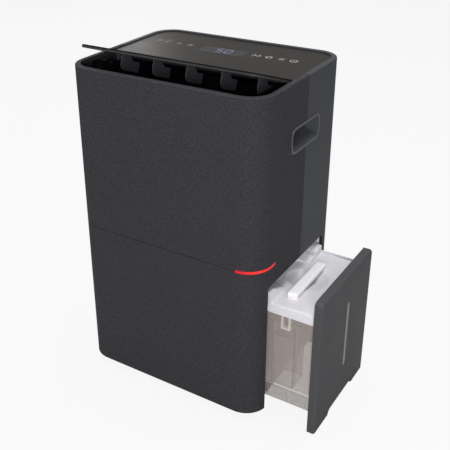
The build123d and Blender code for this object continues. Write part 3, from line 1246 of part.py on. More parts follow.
# Tank lid: three stepped bands, a dished finger well and the raised water inlet
LID_INSETS = (-LID_OVER, -LID_OVER + LID_STEP, -LID_OVER + 2 * LID_STEP)
LID_LEVELS = (0, LID_BAND, 2 * LID_BAND, LID_H)
WELL_BALL = (WELL_R**2 + WELL_DEPTH**2) / (2 * WELL_DEPTH)
GRIP_BALL = (GRIP_R**2 + GRIP_DEPTH**2) / (2 * GRIP_DEPTH)
stop_outline = (
    (HOOD_X - HOOD_L, LID_TOP - LID_ROUND),
    (HOOD_X - STOP_FOOT, LID_TOP - LID_ROUND),
    (HOOD_X - STOP_FOOT, LID_TOP + STOP_TOE),
    (HOOD_X - STOP_LAND, LID_TOP + STOP_H),
    (HOOD_X - HOOD_L, LID_TOP + STOP_H),
)
with BuildPart() as tank_lid:
    for inset, low, high in zip(LID_INSETS, LID_LEVELS, LID_LEVELS[1:]):
        block(
            (TANK_X0 + inset, PANEL_IN),
            (TANK_Y0 + inset, TANK_Y1 - inset),
            (LID_Z0 + low, LID_Z0 + high),
        )
    fillet(tank_lid.faces().sort_by(Axis.Z)[-1].edges().filter_by(Axis.X), LID_ROUND)
    block(
        (TANK_X0 + TANK_WALL, PANEL_IN - TANK_WALL),
        (TANK_Y0 + TANK_WALL, TANK_Y1 - TANK_WALL),
        (LID_Z0, LID_TOP - LID_T),
        Mode.SUBTRACT,
    )
    rod((WELL_X, TANK_MID_Y, LID_Z0), (0, 0, 1), WELL_R + LID_T, LID_H - LID_T)
    rod((GRIP_X, TANK_MID_Y, LID_Z0), (0, 0, 1), GRIP_R + LID_T, LID_H - LID_T)
    block(
        (HOOD_X - HOOD_L, HOOD_X),
        (TANK_Y1 - HOOD_W, TANK_Y1 - HOOD_BACK),
        (LID_TOP - LID_T, LID_TOP + HOOD_H),
    )
    fillet(tank_lid.faces().sort_by(Axis.Z)[-1].edges(), HOOD_ROUND)
    with BuildSketch(Plane.XZ.offset(-TANK_Y0 - LID_INSETS[-1])):
        Polygon(*stop_outline, align=None)
    extrude(amount=LID_INSETS[-1] - STOP_W)
    fillet(tank_lid.faces().sort_by(Axis.Z)[-1].edges(), HOOD_ROUND)
    block(
        (HOOD_X - HOOD_ROUND, PANEL_IN),
        (TANK_Y1 - HOOD_BACK, TANK_Y1 - HOOD_BACK + LIP_T),
        (LID_TOP - LID_T, LID_TOP + LIP_H),
    )
    with Locations((WELL_X, TANK_MID_Y, LID_TOP + WELL_BALL - WELL_DEPTH)):
        Sphere(WELL_BALL, mode=Mode.SUBTRACT)
    with Locations((GRIP_X, TANK_MID_Y, LID_TOP + GRIP_BALL - GRIP_DEPTH)):
        Sphere(GRIP_BALL, mode=Mode.SUBTRACT)
    rod((INLET_X, INLET_Y, LID_Z0), (0, 0, 1), INLET_R, LID_H + HOOD_H, Mode.SUBTRACT)
    rod(
        (HOOD_X, TANK_Y1 - POUR_BACK, LID_TOP + POUR_UP),
        (-1, 0, 0),
        POUR_R,
        HOOD_X - INLET_X,
        Mode.SUBTRACT,
    )
tank_lid.part.label = "tank_lid"
export_step(tank_lid.part, "parts/tank_lid.step")

# Carrying bar across the well
BAR_Y0 = TANK_MID_Y + BAR_SHIFT - BAR_L / 2
BAR_Y1 = TANK_MID_Y + BAR_SHIFT + BAR_L / 2
with BuildPart() as tank_handle:
    block((BAR_X - BAR_W / 2, BAR_X + BAR_W / 2), (BAR_Y0, BAR_Y1), (LID_TOP, LID_TOP + BAR_RISE))
    fillet(tank_handle.edges().filter_by(Axis.X).group_by(Axis.Z)[-1], BAR_NOSE)
    fillet(tank_handle.edges().filter_by(Axis.Y).group_by(Axis.Z)[-1], BAR_ROUND)
    block(
        (BAR_X - BAR_W, BAR_X + BAR_W),
        (BAR_Y0 + BAR_LEG, BAR_Y1 - BAR_LEG),
        (LID_TOP, LID_TOP + BAR_RISE - BAR_T),
        Mode.SUBTRACT,
    )
tank_handle.part.label = "tank_handle"
export_step(tank_handle.part, "parts/tank_handle.step")

# Float: an open-bottomed bell that rises between the tank's guides
with BuildPart() as tank_float:
    block((FLOAT_X0, FLOAT_X1), (FLOAT_Y0, FLOAT_Y1), (FLOAT_Z0, FLOAT_Z1))
    block(
        (FLOAT_X0 + FLOAT_T, FLOAT_X1 - FLOAT_T),
        (FLOAT_Y0 + FLOAT_T, FLOAT_Y1 - FLOAT_T),
        (FLOAT_Z0, FLOAT_Z1 - FLOAT_T),
        Mode.SUBTRACT,
    )
tank_float.part.label = "tank_float"
export_step(tank_float.part, "parts/tank_float.step")

# White hanger below the lid that stops the float
HANGER_X = (FLOAT_X0 + FLOAT_X1) / 2
HANGER_Y = FLOAT_Y0 + HANGER_BAR
with BuildPart() as float_hanger:
    for sign in (-1, 1):
        leg_x = HANGER_X + sign * (HANGER_W - HANGER_BAR) / 2
        block(
            (leg_x - HANGER_BAR / 2, leg_x + HANGER_BAR / 2),
            (HANGER_Y, HANGER_Y + HANGER_BAR),
            (HANGER_Z0, LID_TOP - LID_T),
        )
    block(
        (HANGER_X - HANGER_W / 2, HANGER_X + HANGER_W / 2),
        (HANGER_Y, HANGER_Y + 2 * HANGER_BAR),
        (HANGER_Z0, HANGER_Z0 + HANGER_BAR),
    )
float_hanger.part.label = "float_hanger"
export_step(float_hanger.part, "parts/float_hanger.step")
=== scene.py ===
import json
import math

import bpy
import numpy as np
from mathutils import Matrix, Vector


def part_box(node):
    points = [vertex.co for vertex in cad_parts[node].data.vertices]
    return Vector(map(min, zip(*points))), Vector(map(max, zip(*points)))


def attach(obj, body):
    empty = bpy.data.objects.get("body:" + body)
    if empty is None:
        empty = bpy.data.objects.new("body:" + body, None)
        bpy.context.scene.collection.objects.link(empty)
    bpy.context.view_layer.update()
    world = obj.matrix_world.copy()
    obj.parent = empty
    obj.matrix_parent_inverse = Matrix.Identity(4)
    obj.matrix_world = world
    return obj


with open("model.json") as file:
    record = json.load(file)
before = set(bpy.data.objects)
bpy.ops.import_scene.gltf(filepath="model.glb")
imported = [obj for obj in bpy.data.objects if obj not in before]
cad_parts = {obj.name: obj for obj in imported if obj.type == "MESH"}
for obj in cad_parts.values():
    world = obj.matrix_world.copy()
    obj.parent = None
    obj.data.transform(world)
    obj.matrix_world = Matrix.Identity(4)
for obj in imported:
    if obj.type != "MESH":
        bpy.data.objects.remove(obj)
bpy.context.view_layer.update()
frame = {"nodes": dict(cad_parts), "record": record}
nodes = frame["nodes"]

# Floor pan and feet
# The pan is a shallow black moulding that carries everything else; four rubber feet push into it.
# Both are dull, with a fine spark-eroded grain from the mould that is coarser on the rubber.


class Wire:
    """One socket in a material's nodes. Sums on it add Math nodes, and node() adds any other node."""

    MIX_COLOURS = (6, 7)
    MIX_RESULT = 2

    def __init__(self, tree, socket=None):
        self.tree = tree
        self.socket = socket

    def node(self, kind, settings, inputs, out=0):
        """Adds a node, with its settings first and then its inputs from numbers or wires."""
        added = self.tree.nodes.new(kind)
        for name, value in settings.items():
            setattr(added, name, value)
        for name, value in inputs.items():
            if isinstance(value, Wire):
                self.tree.links.new(value.socket, added.inputs[name])
            else:
                added.inputs[name].default_value = value
        return Wire(self.tree, added.outputs[out])

    def maths(self, operation, *values):
        """A Math node on one or two values, in the order given."""
        return self.node("ShaderNodeMath", {"operation": operation}, dict(enumerate(values)))

    def __add__(self, other):
        return self.maths("ADD", self, other)

    def __radd__(self, other):
        return self.maths("ADD", other, self)

    def __sub__(self, other):
        return self.maths("SUBTRACT", self, other)

    def __rsub__(self, other):
        return self.maths("SUBTRACT", other, self)

    def __mul__(self, other):
        return self.maths("MULTIPLY", self, other)

    def __rmul__(self, other):
        return self.maths("MULTIPLY", other, self)

    def step(self, low, high):
        """0 below low and 1 above high, with a smooth rise between."""
        return self.node(
            "ShaderNodeMapRange",
            {"interpolation_type": "SMOOTHSTEP"},
            {"Value": self, "From Min": low, "From Max": high},
        )

    def noise(self, size, detail=2.0):
        """Cloudy noise from 0 to 1, with lumps of about that size in metres."""
        return self.node("ShaderNodeTexNoise", {}, {"Vector": self, "Scale": 1 / size, "Detail": detail})

    def axis(self, name):
        """One of a vector's three parts: X, Y or Z."""
        return self.node("ShaderNodeSeparateXYZ", {}, {"Vector": self}, name)

    def near(self, centre, half, soft):
        """1 within half of the centre, falling to 0 over the soft width beyond."""
        apart = self.maths("ABSOLUTE", self - centre)
        return 1 - apart.step(half, half + soft)

    def tint(self, colour):
        """A colour made lighter or darker by this value."""
        return self.node("ShaderNodeVectorMath", {"operation": "SCALE"}, {0: colour, "Scale": self})

    def between(self, first, second):
        """A mix of two colours: the first at 0 and the second at 1."""
        inputs = {0: self}
        for socket, colour in zip(self.MIX_COLOURS, (first, second)):
            inputs[socket] = (*colour, 1.0) if isinstance(colour, tuple) else colour
        return self.node("ShaderNodeMix", {"data_type": "RGBA"}, inputs, self.MIX_RESULT)

    def bump(self, depth, strength=1.0):
        """A surface normal from this height, depth metres from 0 to 1."""
        return self.node("ShaderNodeBump", {}, {"Height": self, "Distance": depth, "Strength": strength})


class Finish:
    """One material: its Principled shader, the object's own coordinates, and set() for its sockets."""

    def __init__(self, name):
        self.material = bpy.data.materials.new(name)
        self.material.use_nodes = True
        self.tree = self.material.node_tree
        self.shader = self.tree.nodes["Principled BSDF"]
        self.place = Wire(self.tree).node("ShaderNodeTexCoord", {}, {}, "Object")

    def set(self, sockets):
        """Links each wire to its socket, and sets each number or colour on its socket directly."""
        for name, value in sockets.items():
            if isinstance(value, Wire):
                self.tree.links.new(value.socket, self.shader.inputs[name])
            elif isinstance(value, tuple):
                self.shader.inputs[name].default_value = (*value, 1.0)
            else:
                self.shader.inputs[name].default_value = value
        return self


GRAIN_DETAIL = 3.0
PATCH_SIZE = 0.06
PATCH_GLOSS = 0.12
GRAIN_GLOSS = 0.10


def moulded(name, colour, rough, grain=0.0011, depth=0.00004, mottle=0.10, sockets=()):
    """Moulded plastic: fine grain in colour and height, and slow patches in colour and gloss."""
    finish = Finish(name)
    fine = finish.place.noise(grain, GRAIN_DETAIL)
    slow = finish.place.noise(PATCH_SIZE)
    return finish.set({
        "Base Color": (1 + (fine - 0.5) * 2 * mottle + (slow - 0.5) * mottle).tint(colour),
        "Roughness": rough + (slow - 0.5) * PATCH_GLOSS + (fine - 0.5) * GRAIN_GLOSS,
        "Normal": fine.bump(depth),
        **dict(sockets),
    })


WELD_GAP = 1e-6
SHARP_EDGE = math.radians(30)


def dress(finish, *names):
    """Gives a CAD node its finish, and shades its curved faces smooth up to the angle of a sharp edge."""
    for name in names:
        node = nodes[name]
        node.data.materials.clear()
        node.data.materials.append(finish.material)
        weld = node.modifiers.new("weld", "WELD")
        weld.merge_threshold = WELD_GAP
        split = node.modifiers.new("edges", "EDGE_SPLIT")
        split.split_angle = SHARP_EDGE
        node.data.polygons.foreach_set("use_smooth", np.ones(len(node.data.polygons), dtype=bool))


black_moulding = moulded("black_moulding", (0.020, 0.020, 0.022), 0.55)
dress(black_moulding, "base_pan")
foot_rubber = moulded("foot_rubber", (0.032, 0.031, 0.030), 0.85, grain=0.0018, depth=0.00012)
dress(foot_rubber, "feet")

# Compressor, its mounts, coils and pipes
# A drawn steel can in black enamel stands on three rubber mounts; copper pipes, brazed at both
# ends, join it to two coils of thin aluminium fins. The casing and the filter cover them all.
enamel = moulded(
    "black_enamel", (0.028, 0.028, 0.031), 0.30, grain=0.0035, depth=0.00003,
    sockets={"Coat Weight": 0.4},
)
dress(enamel, "compressor")
dress(foot_rubber, "compressor_mounts")

DRAWN_LINE = 0.001
DRAWN_DEPTH = 0.00002
LINE_GLOSS = 0.25
DULL_PATCH = 0.025
DULL_RANGE = (0.45, 0.7)
DULL_GLOSS = 0.15


def bare_metal(name, colour, rough, stretch, dulling):
    """Bare metal: drawing lines along one axis from stretched noise, with duller patches."""
    finish = Finish(name)
    stretched = finish.place.node("ShaderNodeMapping", {}, {"Vector": finish.place, "Scale": stretch})
    lines = stretched.noise(DRAWN_LINE, GRAIN_DETAIL)
    patch = finish.place.noise(DULL_PATCH, GRAIN_DETAIL).step(*DULL_RANGE)
    return finish.set({
        "Base Color": patch.between(colour, dulling),
        "Roughness": rough + (lines - 0.5) * LINE_GLOSS + patch * DULL_GLOSS,
        "Metallic": 1.0,
        "Normal": lines.bump(DRAWN_DEPTH),
    })


copper = bare_metal("copper_pipe", (0.72, 0.36, 0.22), 0.32, (1.0, 1.0, 0.1), (0.40, 0.20, 0.13))
dress(copper, "discharge_pipe", "suction_pipe")
fin_metal = bare_metal("coil_fins", (0.72, 0.73, 0.74), 0.38, (1.0, 1.0, 0.05), (0.55, 0.56, 0.57))
dress(fin_metal, "evaporator", "condenser")

# Tank bay, deck, drip tray and level sensor
# The bay liner, the trim at its mouth and the drip tray are thin white mouldings; the trim's outer
# end is painted black as shade, for the dark gap at the mouth's rear edge. The coils and the blower stand on
# a black moulded deck above the bay.
LINER_WHITE = (0.70, 0.66, 0.67)
LINER_GRAIN = 0.0014
LINER_DEPTH = 0.00004
GAP_SHADE_BLACK = (0.010, 0.010, 0.011)
GAP_SHADE_START = 0.1845
GAP_SHADE_SOFT = 0.0006
liner_white = moulded(
    "liner_white", LINER_WHITE, 0.5, grain=LINER_GRAIN, depth=LINER_DEPTH, mottle=0.05
)
dress(liner_white, "bay_liner", "drip_tray")
trim_white = Finish("trim_white")
trim_grain = trim_white.place.noise(LINER_GRAIN, GRAIN_DETAIL)
# Painted shade: beyond this x the trim is black, standing in for the shade of the gap at the mouth's rear
# edge.
painted_gap_shade = trim_white.place.axis("X").step(GAP_SHADE_START, GAP_SHADE_START + GAP_SHADE_SOFT)
trim_white.set({
    "Base Color": painted_gap_shade.between(LINER_WHITE, GAP_SHADE_BLACK),
    "Roughness": 0.46 + trim_grain * 0.10,
    "Normal": trim_grain.bump(LINER_DEPTH),
})
dress(trim_white, "mouth_trim")
dress(black_moulding, "deck", "tank_sensor")

# Blower: scroll, wheel, motor and run capacitor
# A black scroll bolts to the deck, and the moulded wheel presses on to the motor's shaft. The
# motor's case and the capacitor's can are rolled from zinc plated sheet.
dress(black_moulding, "blower_scroll", "fan_wheel")
zinc_plate = bare_metal("zinc_plate", (0.55, 0.56, 0.57), 0.35, (0.1, 1.0, 1.0), (0.42, 0.43, 0.45))
dress(zinc_plate, "fan_motor", "run_capacitor")

# Power box, humidity sensor, control board and display
# Plain black mouldings enclose the mains electronics and the humidity sensor. A black tray below
# the control glass carries a green circuit board and the dark face of the display.
dress(black_moulding, "power_box", "humidity_sensor")
solder_mask = moulded("solder_mask", (0.03, 0.16, 0.07), 0.35, grain=0.004, mottle=0.25)
dress(solder_mask, "control_board")
display_face = moulded("display_face", (0.012, 0.012, 0.014), 0.2, mottle=0.05)
dress(display_face, "display_module")
dress(black_moulding, "control_tray")

# Front shell
# The deep front half of the casing, moulded in charcoal plastic whose mould is etched to look and
# feel like closely woven cloth: small light and dark specks and a dull, slightly sheened face.
CHARCOAL = (0.0352, 0.0335, 0.0385)
SPECK = 0.0018
SPECK_DETAIL = 5.0
SPECK_RANGE = (0.34, 0.66)
SPECK_SHARE = 0.75
THREAD = 0.0012
DARKEST = 0.54
WEAVE_LIFT = 0.96
SHADE_PATCH = 0.09
SHADE_LIFT = 0.10
ETCH_DEPTH = 0.0003
charcoal = Finish("etched_charcoal")
specks = charcoal.place.noise(SPECK, SPECK_DETAIL)
threads = charcoal.place.node(
    "ShaderNodeTexVoronoi", {"feature": "F1"}, {"Vector": charcoal.place, "Scale": 1 / THREAD}, "Distance"
)
patches = charcoal.place.noise(SHADE_PATCH)
weave = specks.step(*SPECK_RANGE) * SPECK_SHARE + threads * (1 - SPECK_SHARE)
charcoal.set({
    "Base Color": (DARKEST + weave * WEAVE_LIFT + (patches - 0.5) * SHADE_LIFT).tint(CHARCOAL),
    "Roughness": 0.60 + weave * 0.14,
    "Normal": weave.bump(ETCH_DEPTH, 0.9),
    "Specular IOR Level": 0.14,
})
dress(charcoal, "front_shell")

# Rear shell and its screws
# The rear half of the casing is smooth satin slate plastic that fits the front half along a fine
# seam. Four flat headed steel screws, sunk flush in its back, hold the two together.
slate = moulded(
    "satin_slate", (0.0505, 0.0528, 0.0600), 0.46, grain=0.0009, depth=0.000012, mottle=0.035,
    sockets={"Specular IOR Level": 0.12},
)
dress(slate, "rear_shell")
screw_metal = bare_metal("screw_metal", (0.30, 0.30, 0.31), 0.35, (1.0, 1.0, 1.0), (0.18, 0.18, 0.19))
dress(screw_metal, "shell_screws")

# Carrying pockets
# A slate bezel with a sloping cup behind it snaps into each side, for lifting with both hands. The
# plastic is the rear shell's, a little paler and glossier.
pocket_slate = moulded(
    "pocket_slate", (0.064, 0.067, 0.075), 0.36, grain=0.0010, depth=0.000015, mottle=0.04
)
dress(pocket_slate, "handle_pocket_right", "handle_pocket_left")

# Light strip
# A clear red light guide follows the right front corner below the groove, lit from a white carrier
# behind it. It glows most in the middle of the corner, where the lamp sits.
GUIDE_MIDDLE = (0.35, 0.012, 0.016)
GUIDE_END = (0.28, 0.006, 0.010)
GLOW_MIDDLE = (1.0, 0.042, 0.030)
GLOW_END = (0.66, 0.012, 0.022)
FADE_START = 0.05
FADE_FULL = 0.9
strip_low, strip_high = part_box("light_strip")
corner_mid = (strip_low[0] + strip_high[0] + strip_low[1] + strip_high[1]) / 2
corner_half = (strip_high[0] - strip_low[0] + strip_high[1] - strip_low[1]) / 2
light_red = Finish("lit_red_guide")
corner = light_red.place.axis("X") + light_red.place.axis("Y")
off_middle = light_red.place.maths("ABSOLUTE", corner - corner_mid)
fading = off_middle.step(FADE_START * corner_half, FADE_FULL * corner_half)
light_red.set({
    "Base Color": fading.between(GUIDE_MIDDLE, GUIDE_END),
    "Emission Color": fading.between(GLOW_MIDDLE, GLOW_END),
    "Emission Strength": 0.74,
    "Roughness": 0.35,
    "Specular IOR Level": 0.2,
})
dress(light_red, "light_strip")
dress(liner_white, "light_carrier")

# Outlet duct and flap drive
# The black duct leads air up to the outlet. A small geared motor, held by two bright screws on the
# left, turns a crank, and a link carries its motion to the flap.
duct_black = moulded("duct_black", (0.005, 0.005, 0.006), 0.60, sockets={"Specular IOR Level": 0.08})
dress(duct_black, "outlet_duct", "flap_motor", "flap_crank", "flap_link")
bright_screw = bare_metal("bright_screw", (0.62, 0.62, 0.64), 0.28, (1.0, 1.0, 1.0), (0.45, 0.45, 0.47))
dress(bright_screw, "motor_screws")

# Outlet flap and guide vanes
# A thin black plate hinges at its rear edge, and five vanes with rounded corners hang below it and
# swing with it. The plate's top face is matt and painted near-black as shade, a painted shadow line above
# its front edge; its other faces and the vanes are lighter and satin.
FLAP_EDGE = (0.036, 0.0350, 0.0365)
FLAP_TOP_SHADE = (0.0025, 0.0025, 0.0025)
FLAP_GRAIN = 0.0016
FLAP_DEPTH = 0.00001
TILT = math.radians(20.0)
PLATE_HALF = 0.00275
SHADE_RISE_START = PLATE_HALF - 0.0026
SHADE_RISE_FULL = PLATE_HALF - 0.0018
joints = {joint["name"]: joint for joint in frame["record"]["behaviour"]["joints"]}
hinge = joints["flap_hinge"]["pos_m"]
flap_black = Finish("flap_black")
flap_grain = flap_black.place.noise(FLAP_GRAIN, GRAIN_DETAIL)
behind_hinge = flap_black.place.axis("Y") - hinge[1]
above_hinge = flap_black.place.axis("Z") - hinge[2]
above_plate = behind_hinge * math.sin(TILT) + above_hinge * math.cos(TILT)
# Painted shade: the plate's top face is coloured near-black, as the shade of the gap above its front edge.
painted_top_shade = above_plate.step(SHADE_RISE_START, SHADE_RISE_FULL)
flap_black.set({
    "Base Color": painted_top_shade.between(FLAP_EDGE, FLAP_TOP_SHADE),
    "Roughness": 0.40 + painted_top_shade * 0.40 + (flap_grain - 0.5) * 0.08,
    "Normal": flap_grain.bump(FLAP_DEPTH),
    "Specular IOR Level": 0.08,
})
dress(flap_black, "outlet_flap")
vane_black = moulded(
    "vane_black", (0.066, 0.069, 0.080), 0.40, grain=0.0013, depth=0.00002, mottle=0.06,
    sockets={"Specular IOR Level": 0.2},
)
dress(vane_black, "guide_vanes")

# Control glass with its touch icons
# A flat pane of smoked plastic, printed dark from behind, with a clearer window over the display.
# The white icons are a printed layer a tenth of a millimetre thick on top, in millimetres here.
MM = 0.001
WINDOW_X = (-52.0, 43.0)
WINDOW_Y = (42.0, 83.0)
WINDOW_SOFT = 0.001
PANE_BROWN = (0.0165, 0.0133, 0.0110)
WINDOW_GREY = (0.030, 0.0295, 0.0300)
SMEAR = 0.05
DUST_SPOT = 0.0008
glass_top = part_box("control_glass")[1][2]
window_mid = [(low + high) / 2 for low, high in (WINDOW_X, WINDOW_Y)]
window_half = [(high - low) / 2 for low, high in (WINDOW_X, WINDOW_Y)]
smoked_glass = Finish("smoked_glass")
window_span = [
    smoked_glass.place.axis(name).near(mid * MM, half * MM - WINDOW_SOFT, WINDOW_SOFT)
    for name, mid, half in zip("XY", window_mid, window_half)
]
window = window_span[0] * window_span[1]
smears = smoked_glass.place.noise(SMEAR, 4.0)
dust = 0.86 + smoked_glass.place.noise(DUST_SPOT, GRAIN_DETAIL) * 0.28
smoked_glass.set({
    "Base Color": window.between(dust.tint(PANE_BROWN), dust.tint(WINDOW_GREY)),
    "Roughness": 0.27 + smears * 0.10,
    "Specular IOR Level": 0.22,
})
dress(smoked_glass, "control_glass")

ICON_ROW = 67.5
ICON_SIZE = 1.3
ICON_GREY = (0.70, 0.70, 0.70)
INK_SPOT = 0.002
LIT_RIGHT_SPAN = (0.0, 0.05)
LIT_POWER_SPAN = (0.120, 0.130)
STROKE = 1.0
PRINT_T = 0.10


def stroke(path, width=STROKE, closed=False):
    """A flat printed line: at each point of the path, the path's normal times half the width gives
    its two sides, at the glass and one print thickness above it."""
    path = np.asarray(path, dtype=float)
    if closed:
        along_path = np.roll(path, -1, 0) - np.roll(path, 1, 0)
    else:
        along_path = np.gradient(path, axis=0)
    along_path /= np.linalg.norm(along_path, axis=1)[:, None]
    side = np.stack([-along_path[:, 1], along_path[:, 0]], 1) * width / 2
    count = len(path)
    low = np.zeros((count, 1))
    high = np.full((count, 1), PRINT_T)
    rings = np.stack([
        np.hstack([path + side, high]), np.hstack([path - side, high]),
        np.hstack([path - side, low]), np.hstack([path + side, low]),
    ], 1)
    first = np.arange(count if closed else count - 1)
    second = (first + 1) % count
    sides = np.arange(4)
    quads = np.stack([
        first[:, None] * 4 + sides, second[:, None] * 4 + sides,
        second[:, None] * 4 + (sides + 1) % 4, first[:, None] * 4 + (sides + 1) % 4,
    ], 2).reshape(-1, 4)[:, ::-1]
    if not closed:
        end_cap = (count - 1) * 4 + sides[::-1]
        quads = np.vstack([quads, sides, end_cap])
    return rings.reshape(-1, 3), quads


def arc(radius, start, end, count=40):
    """Points on a circle about the origin between two angles in degrees."""
    angle = np.radians(np.linspace(start, end, count))
    return np.stack([radius * np.cos(angle), radius * np.sin(angle)], 1)


def line(*ends):
    """Points along straight runs between the given ends, eight to a run."""
    ends = np.asarray(ends, dtype=float)
    runs = [np.linspace(a, b, 8, endpoint=False) for a, b in zip(ends[:-1], ends[1:])]
    return np.vstack([*runs, ends[-1:]])


def rounded(half_x, half_y, radius, count=12):
    """A closed path of four quarter circles about a rectangle's corners."""
    corners = []
    for start, (x, y) in zip((0, 90, 180, 270), ((1, 1), (-1, 1), (-1, -1), (1, -1))):
        centre = np.array([x * (half_x - radius), y * (half_y - radius)])
        corners.append(arc(radius, start, start + 90, count) + centre)
    return np.vstack(corners)


def mesh_piece(name, points, quads, finish):
    """A new object in one finish, from points in metres and faces of four points each."""
    mesh = bpy.data.meshes.new(name)
    mesh.from_pydata(points.tolist(), [], quads.tolist())
    mesh.materials.append(finish.material)
    piece = bpy.data.objects.new(name, mesh)
    bpy.context.scene.collection.objects.link(piece)
    return piece


def print_layer(name, strokes, level, finish, body):
    """One piece from many strokes, each moved to its own centre on a flat face at that level."""
    points = []
    quads = []
    count = 0
    for (x, y), (stroke_points, stroke_quads) in strokes:
        points.append(stroke_points + (x, y, 0))
        quads.append(stroke_quads + count)
        count += len(stroke_points)
    piece = mesh_piece(name, np.vstack(points) * MM + (0, 0, level), np.vstack(quads), finish)
    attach(piece, body)


turn = np.linspace(0, 2 * np.pi, 60, endpoint=False)
ring = arc(4.6, 0, 360, 49)[:-1]
drop = np.stack([3.9 * np.sin(turn) * np.sin(turn / 2) ** 1.5, 5.4 * np.cos(turn)], 1)
petals = np.stack([np.cos(turn), np.sin(turn)], 1) * (2.6 + 2.0 * np.cos(3 * turn))[:, None]
moon = np.vstack([arc(4.6, 60, 300), arc(4.0, 290, 70) * (0.8, 1.0) + (1.4, 0)])
ray_ends = np.array([[4.2], [5.6]])
rays = [line(*(ray_ends * (np.cos(angle), np.sin(angle)))) for angle in turn[::8]]
speed_bars = ((3.2, 4.6), (0, 3.0), (-3.2, 4.6))

# Each icon's place along the row, and its strokes: path, width, and whether it is closed.
icon_lines = {
    "power": (133.7, [
        (arc(5.0, 0, 360, 49)[:-1], 1.1, True),
        (line((0, -1.6), (0, 1.6)), 1.0, False),
    ]),
    "speed": (110.5, [(line((-4.6, y), (reach, y)), STROKE, False) for y, reach in speed_bars]),
    "lamp": (85.5, [
        (ring * 0.80, 1.3, True),
        *[(ray, STROKE, False) for ray in rays],
    ]),
    "humidity": (61.5, [(drop * 0.8 + (x, 0), STROKE, True) for x in (-3.6, 3.6)]),
    "timer": (-78, [
        (ring * 0.8, STROKE, True),
        (line((0, 3.0), (0, 0), (2.2, -1.4)), STROKE, False),
    ]),
    "fan": (-101.5, [(petals * 0.85, STROKE, True)]),
    "sleep": (-127.5, [
        (moon * 0.8, STROKE, True),
        (line((-4, 7), (0, 10), (4, 7)), STROKE, False),
    ]),
    "lock": (-147, [
        (rounded(3.6, 2.8, 0.8), STROKE, True),
        (arc(2.4, 0, 180) + (0, 2.8), STROKE, False),
    ]),
}
icons = [
    ((x, ICON_ROW), stroke(path * ICON_SIZE, width, closed))
    for x, paths in icon_lines.values()
    for path, width, closed in paths
]
icon_white = Finish("icon_print")
# Painted light: the icons' grey is lighter toward the right end of the row, and lighter again at the power
# icon, as though lit from the right.
painted_light_right = icon_white.place.axis("X").step(*LIT_RIGHT_SPAN)
painted_light_power = icon_white.place.axis("X").step(*LIT_POWER_SPAN)
ink = icon_white.place.noise(INK_SPOT)
icon_white.set({
    "Base Color": (0.26 + painted_light_right * 0.22 + painted_light_power * 0.14 + ink * 0.2).tint(ICON_GREY),
    "Roughness": 0.5,
})
print_layer("touch_icons", icons, glass_top, icon_white, "housing")

# Display line and digits
# A fine black line is printed round the display's window. The two digits of the humidity reading
# are made of the bars of an ordinary seven bar display, lit a dim blue, and lie on the pane too.
WINDOW_R = 14.0
WINDOW_LINE = 0.9
window_line = [(window_mid, stroke(rounded(*window_half, WINDOW_R), WINDOW_LINE, True))]
line_black = moulded("display_line", (0.006, 0.006, 0.006), 0.45, sockets={"Specular IOR Level": 0.15})
print_layer("display_line", window_line, glass_top, line_black, "housing")

DIGIT_W = 11.0
DIGIT_H = 20.0
DIGIT_PITCH = 18.0
DIGIT_X = -11.5
DIGIT_Y = 63.5
BAR_W = 1.9
BAR_GAP = 1.2
DIGIT_BASE = (0.10, 0.12, 0.16)
DIGIT_GLOW = (0.30, 0.36, 0.52)
DIGIT_SPOT = 0.003
half_w = DIGIT_W / 2
half_h = DIGIT_H / 2
end_w = half_w - BAR_GAP
end_h = half_h - BAR_GAP
bars = {
    "a": line((-end_w, half_h), (end_w, half_h)),
    "b": line((half_w, end_h), (half_w, BAR_GAP)),
    "c": line((half_w, -BAR_GAP), (half_w, -end_h)),
    "d": line((-end_w, -half_h), (end_w, -half_h)),
    "e": line((-half_w, -BAR_GAP), (-half_w, -end_h)),
    "f": line((-half_w, end_h), (-half_w, BAR_GAP)),
    "g": line((-end_w, 0), (end_w, 0)),
}
digits = [
    ((x, DIGIT_Y), stroke(bars[bar], BAR_W))
    for x, lit in ((DIGIT_X, "acdfg"), (DIGIT_X + DIGIT_PITCH, "abcdef"))
    for bar in lit
]
digit_blue = Finish("lit_digits")
digit_blue.set({
    "Base Color": (0.8 + digit_blue.place.noise(DIGIT_SPOT) * 0.3).tint(DIGIT_BASE),
    "Emission Color": DIGIT_GLOW,
    "Emission Strength": 0.40,
    "Roughness": 0.3,
})
print_layer("display_digits", digits, glass_top, digit_blue, "housing")

# Tank panel and level window
# The tank's outer panel is smooth grey plastic with rounded edges and a finger notch at its foot.
# A brown smoked strip is welded in a slit, so that the water shows.
panel_grey = moulded(
    "panel_grey", (0.0710, 0.0710, 0.0755), 0.46, grain=0.0009, depth=0.000012, mottle=0.035,
    sockets={"Specular IOR Level": 0.07},
)
dress(panel_grey, "tank_panel")
window_brown = moulded("window_brown", (0.210, 0.175, 0.155), 0.22, grain=0.002, depth=0.00001, mottle=0.06)
dress(window_brown, "level_window")

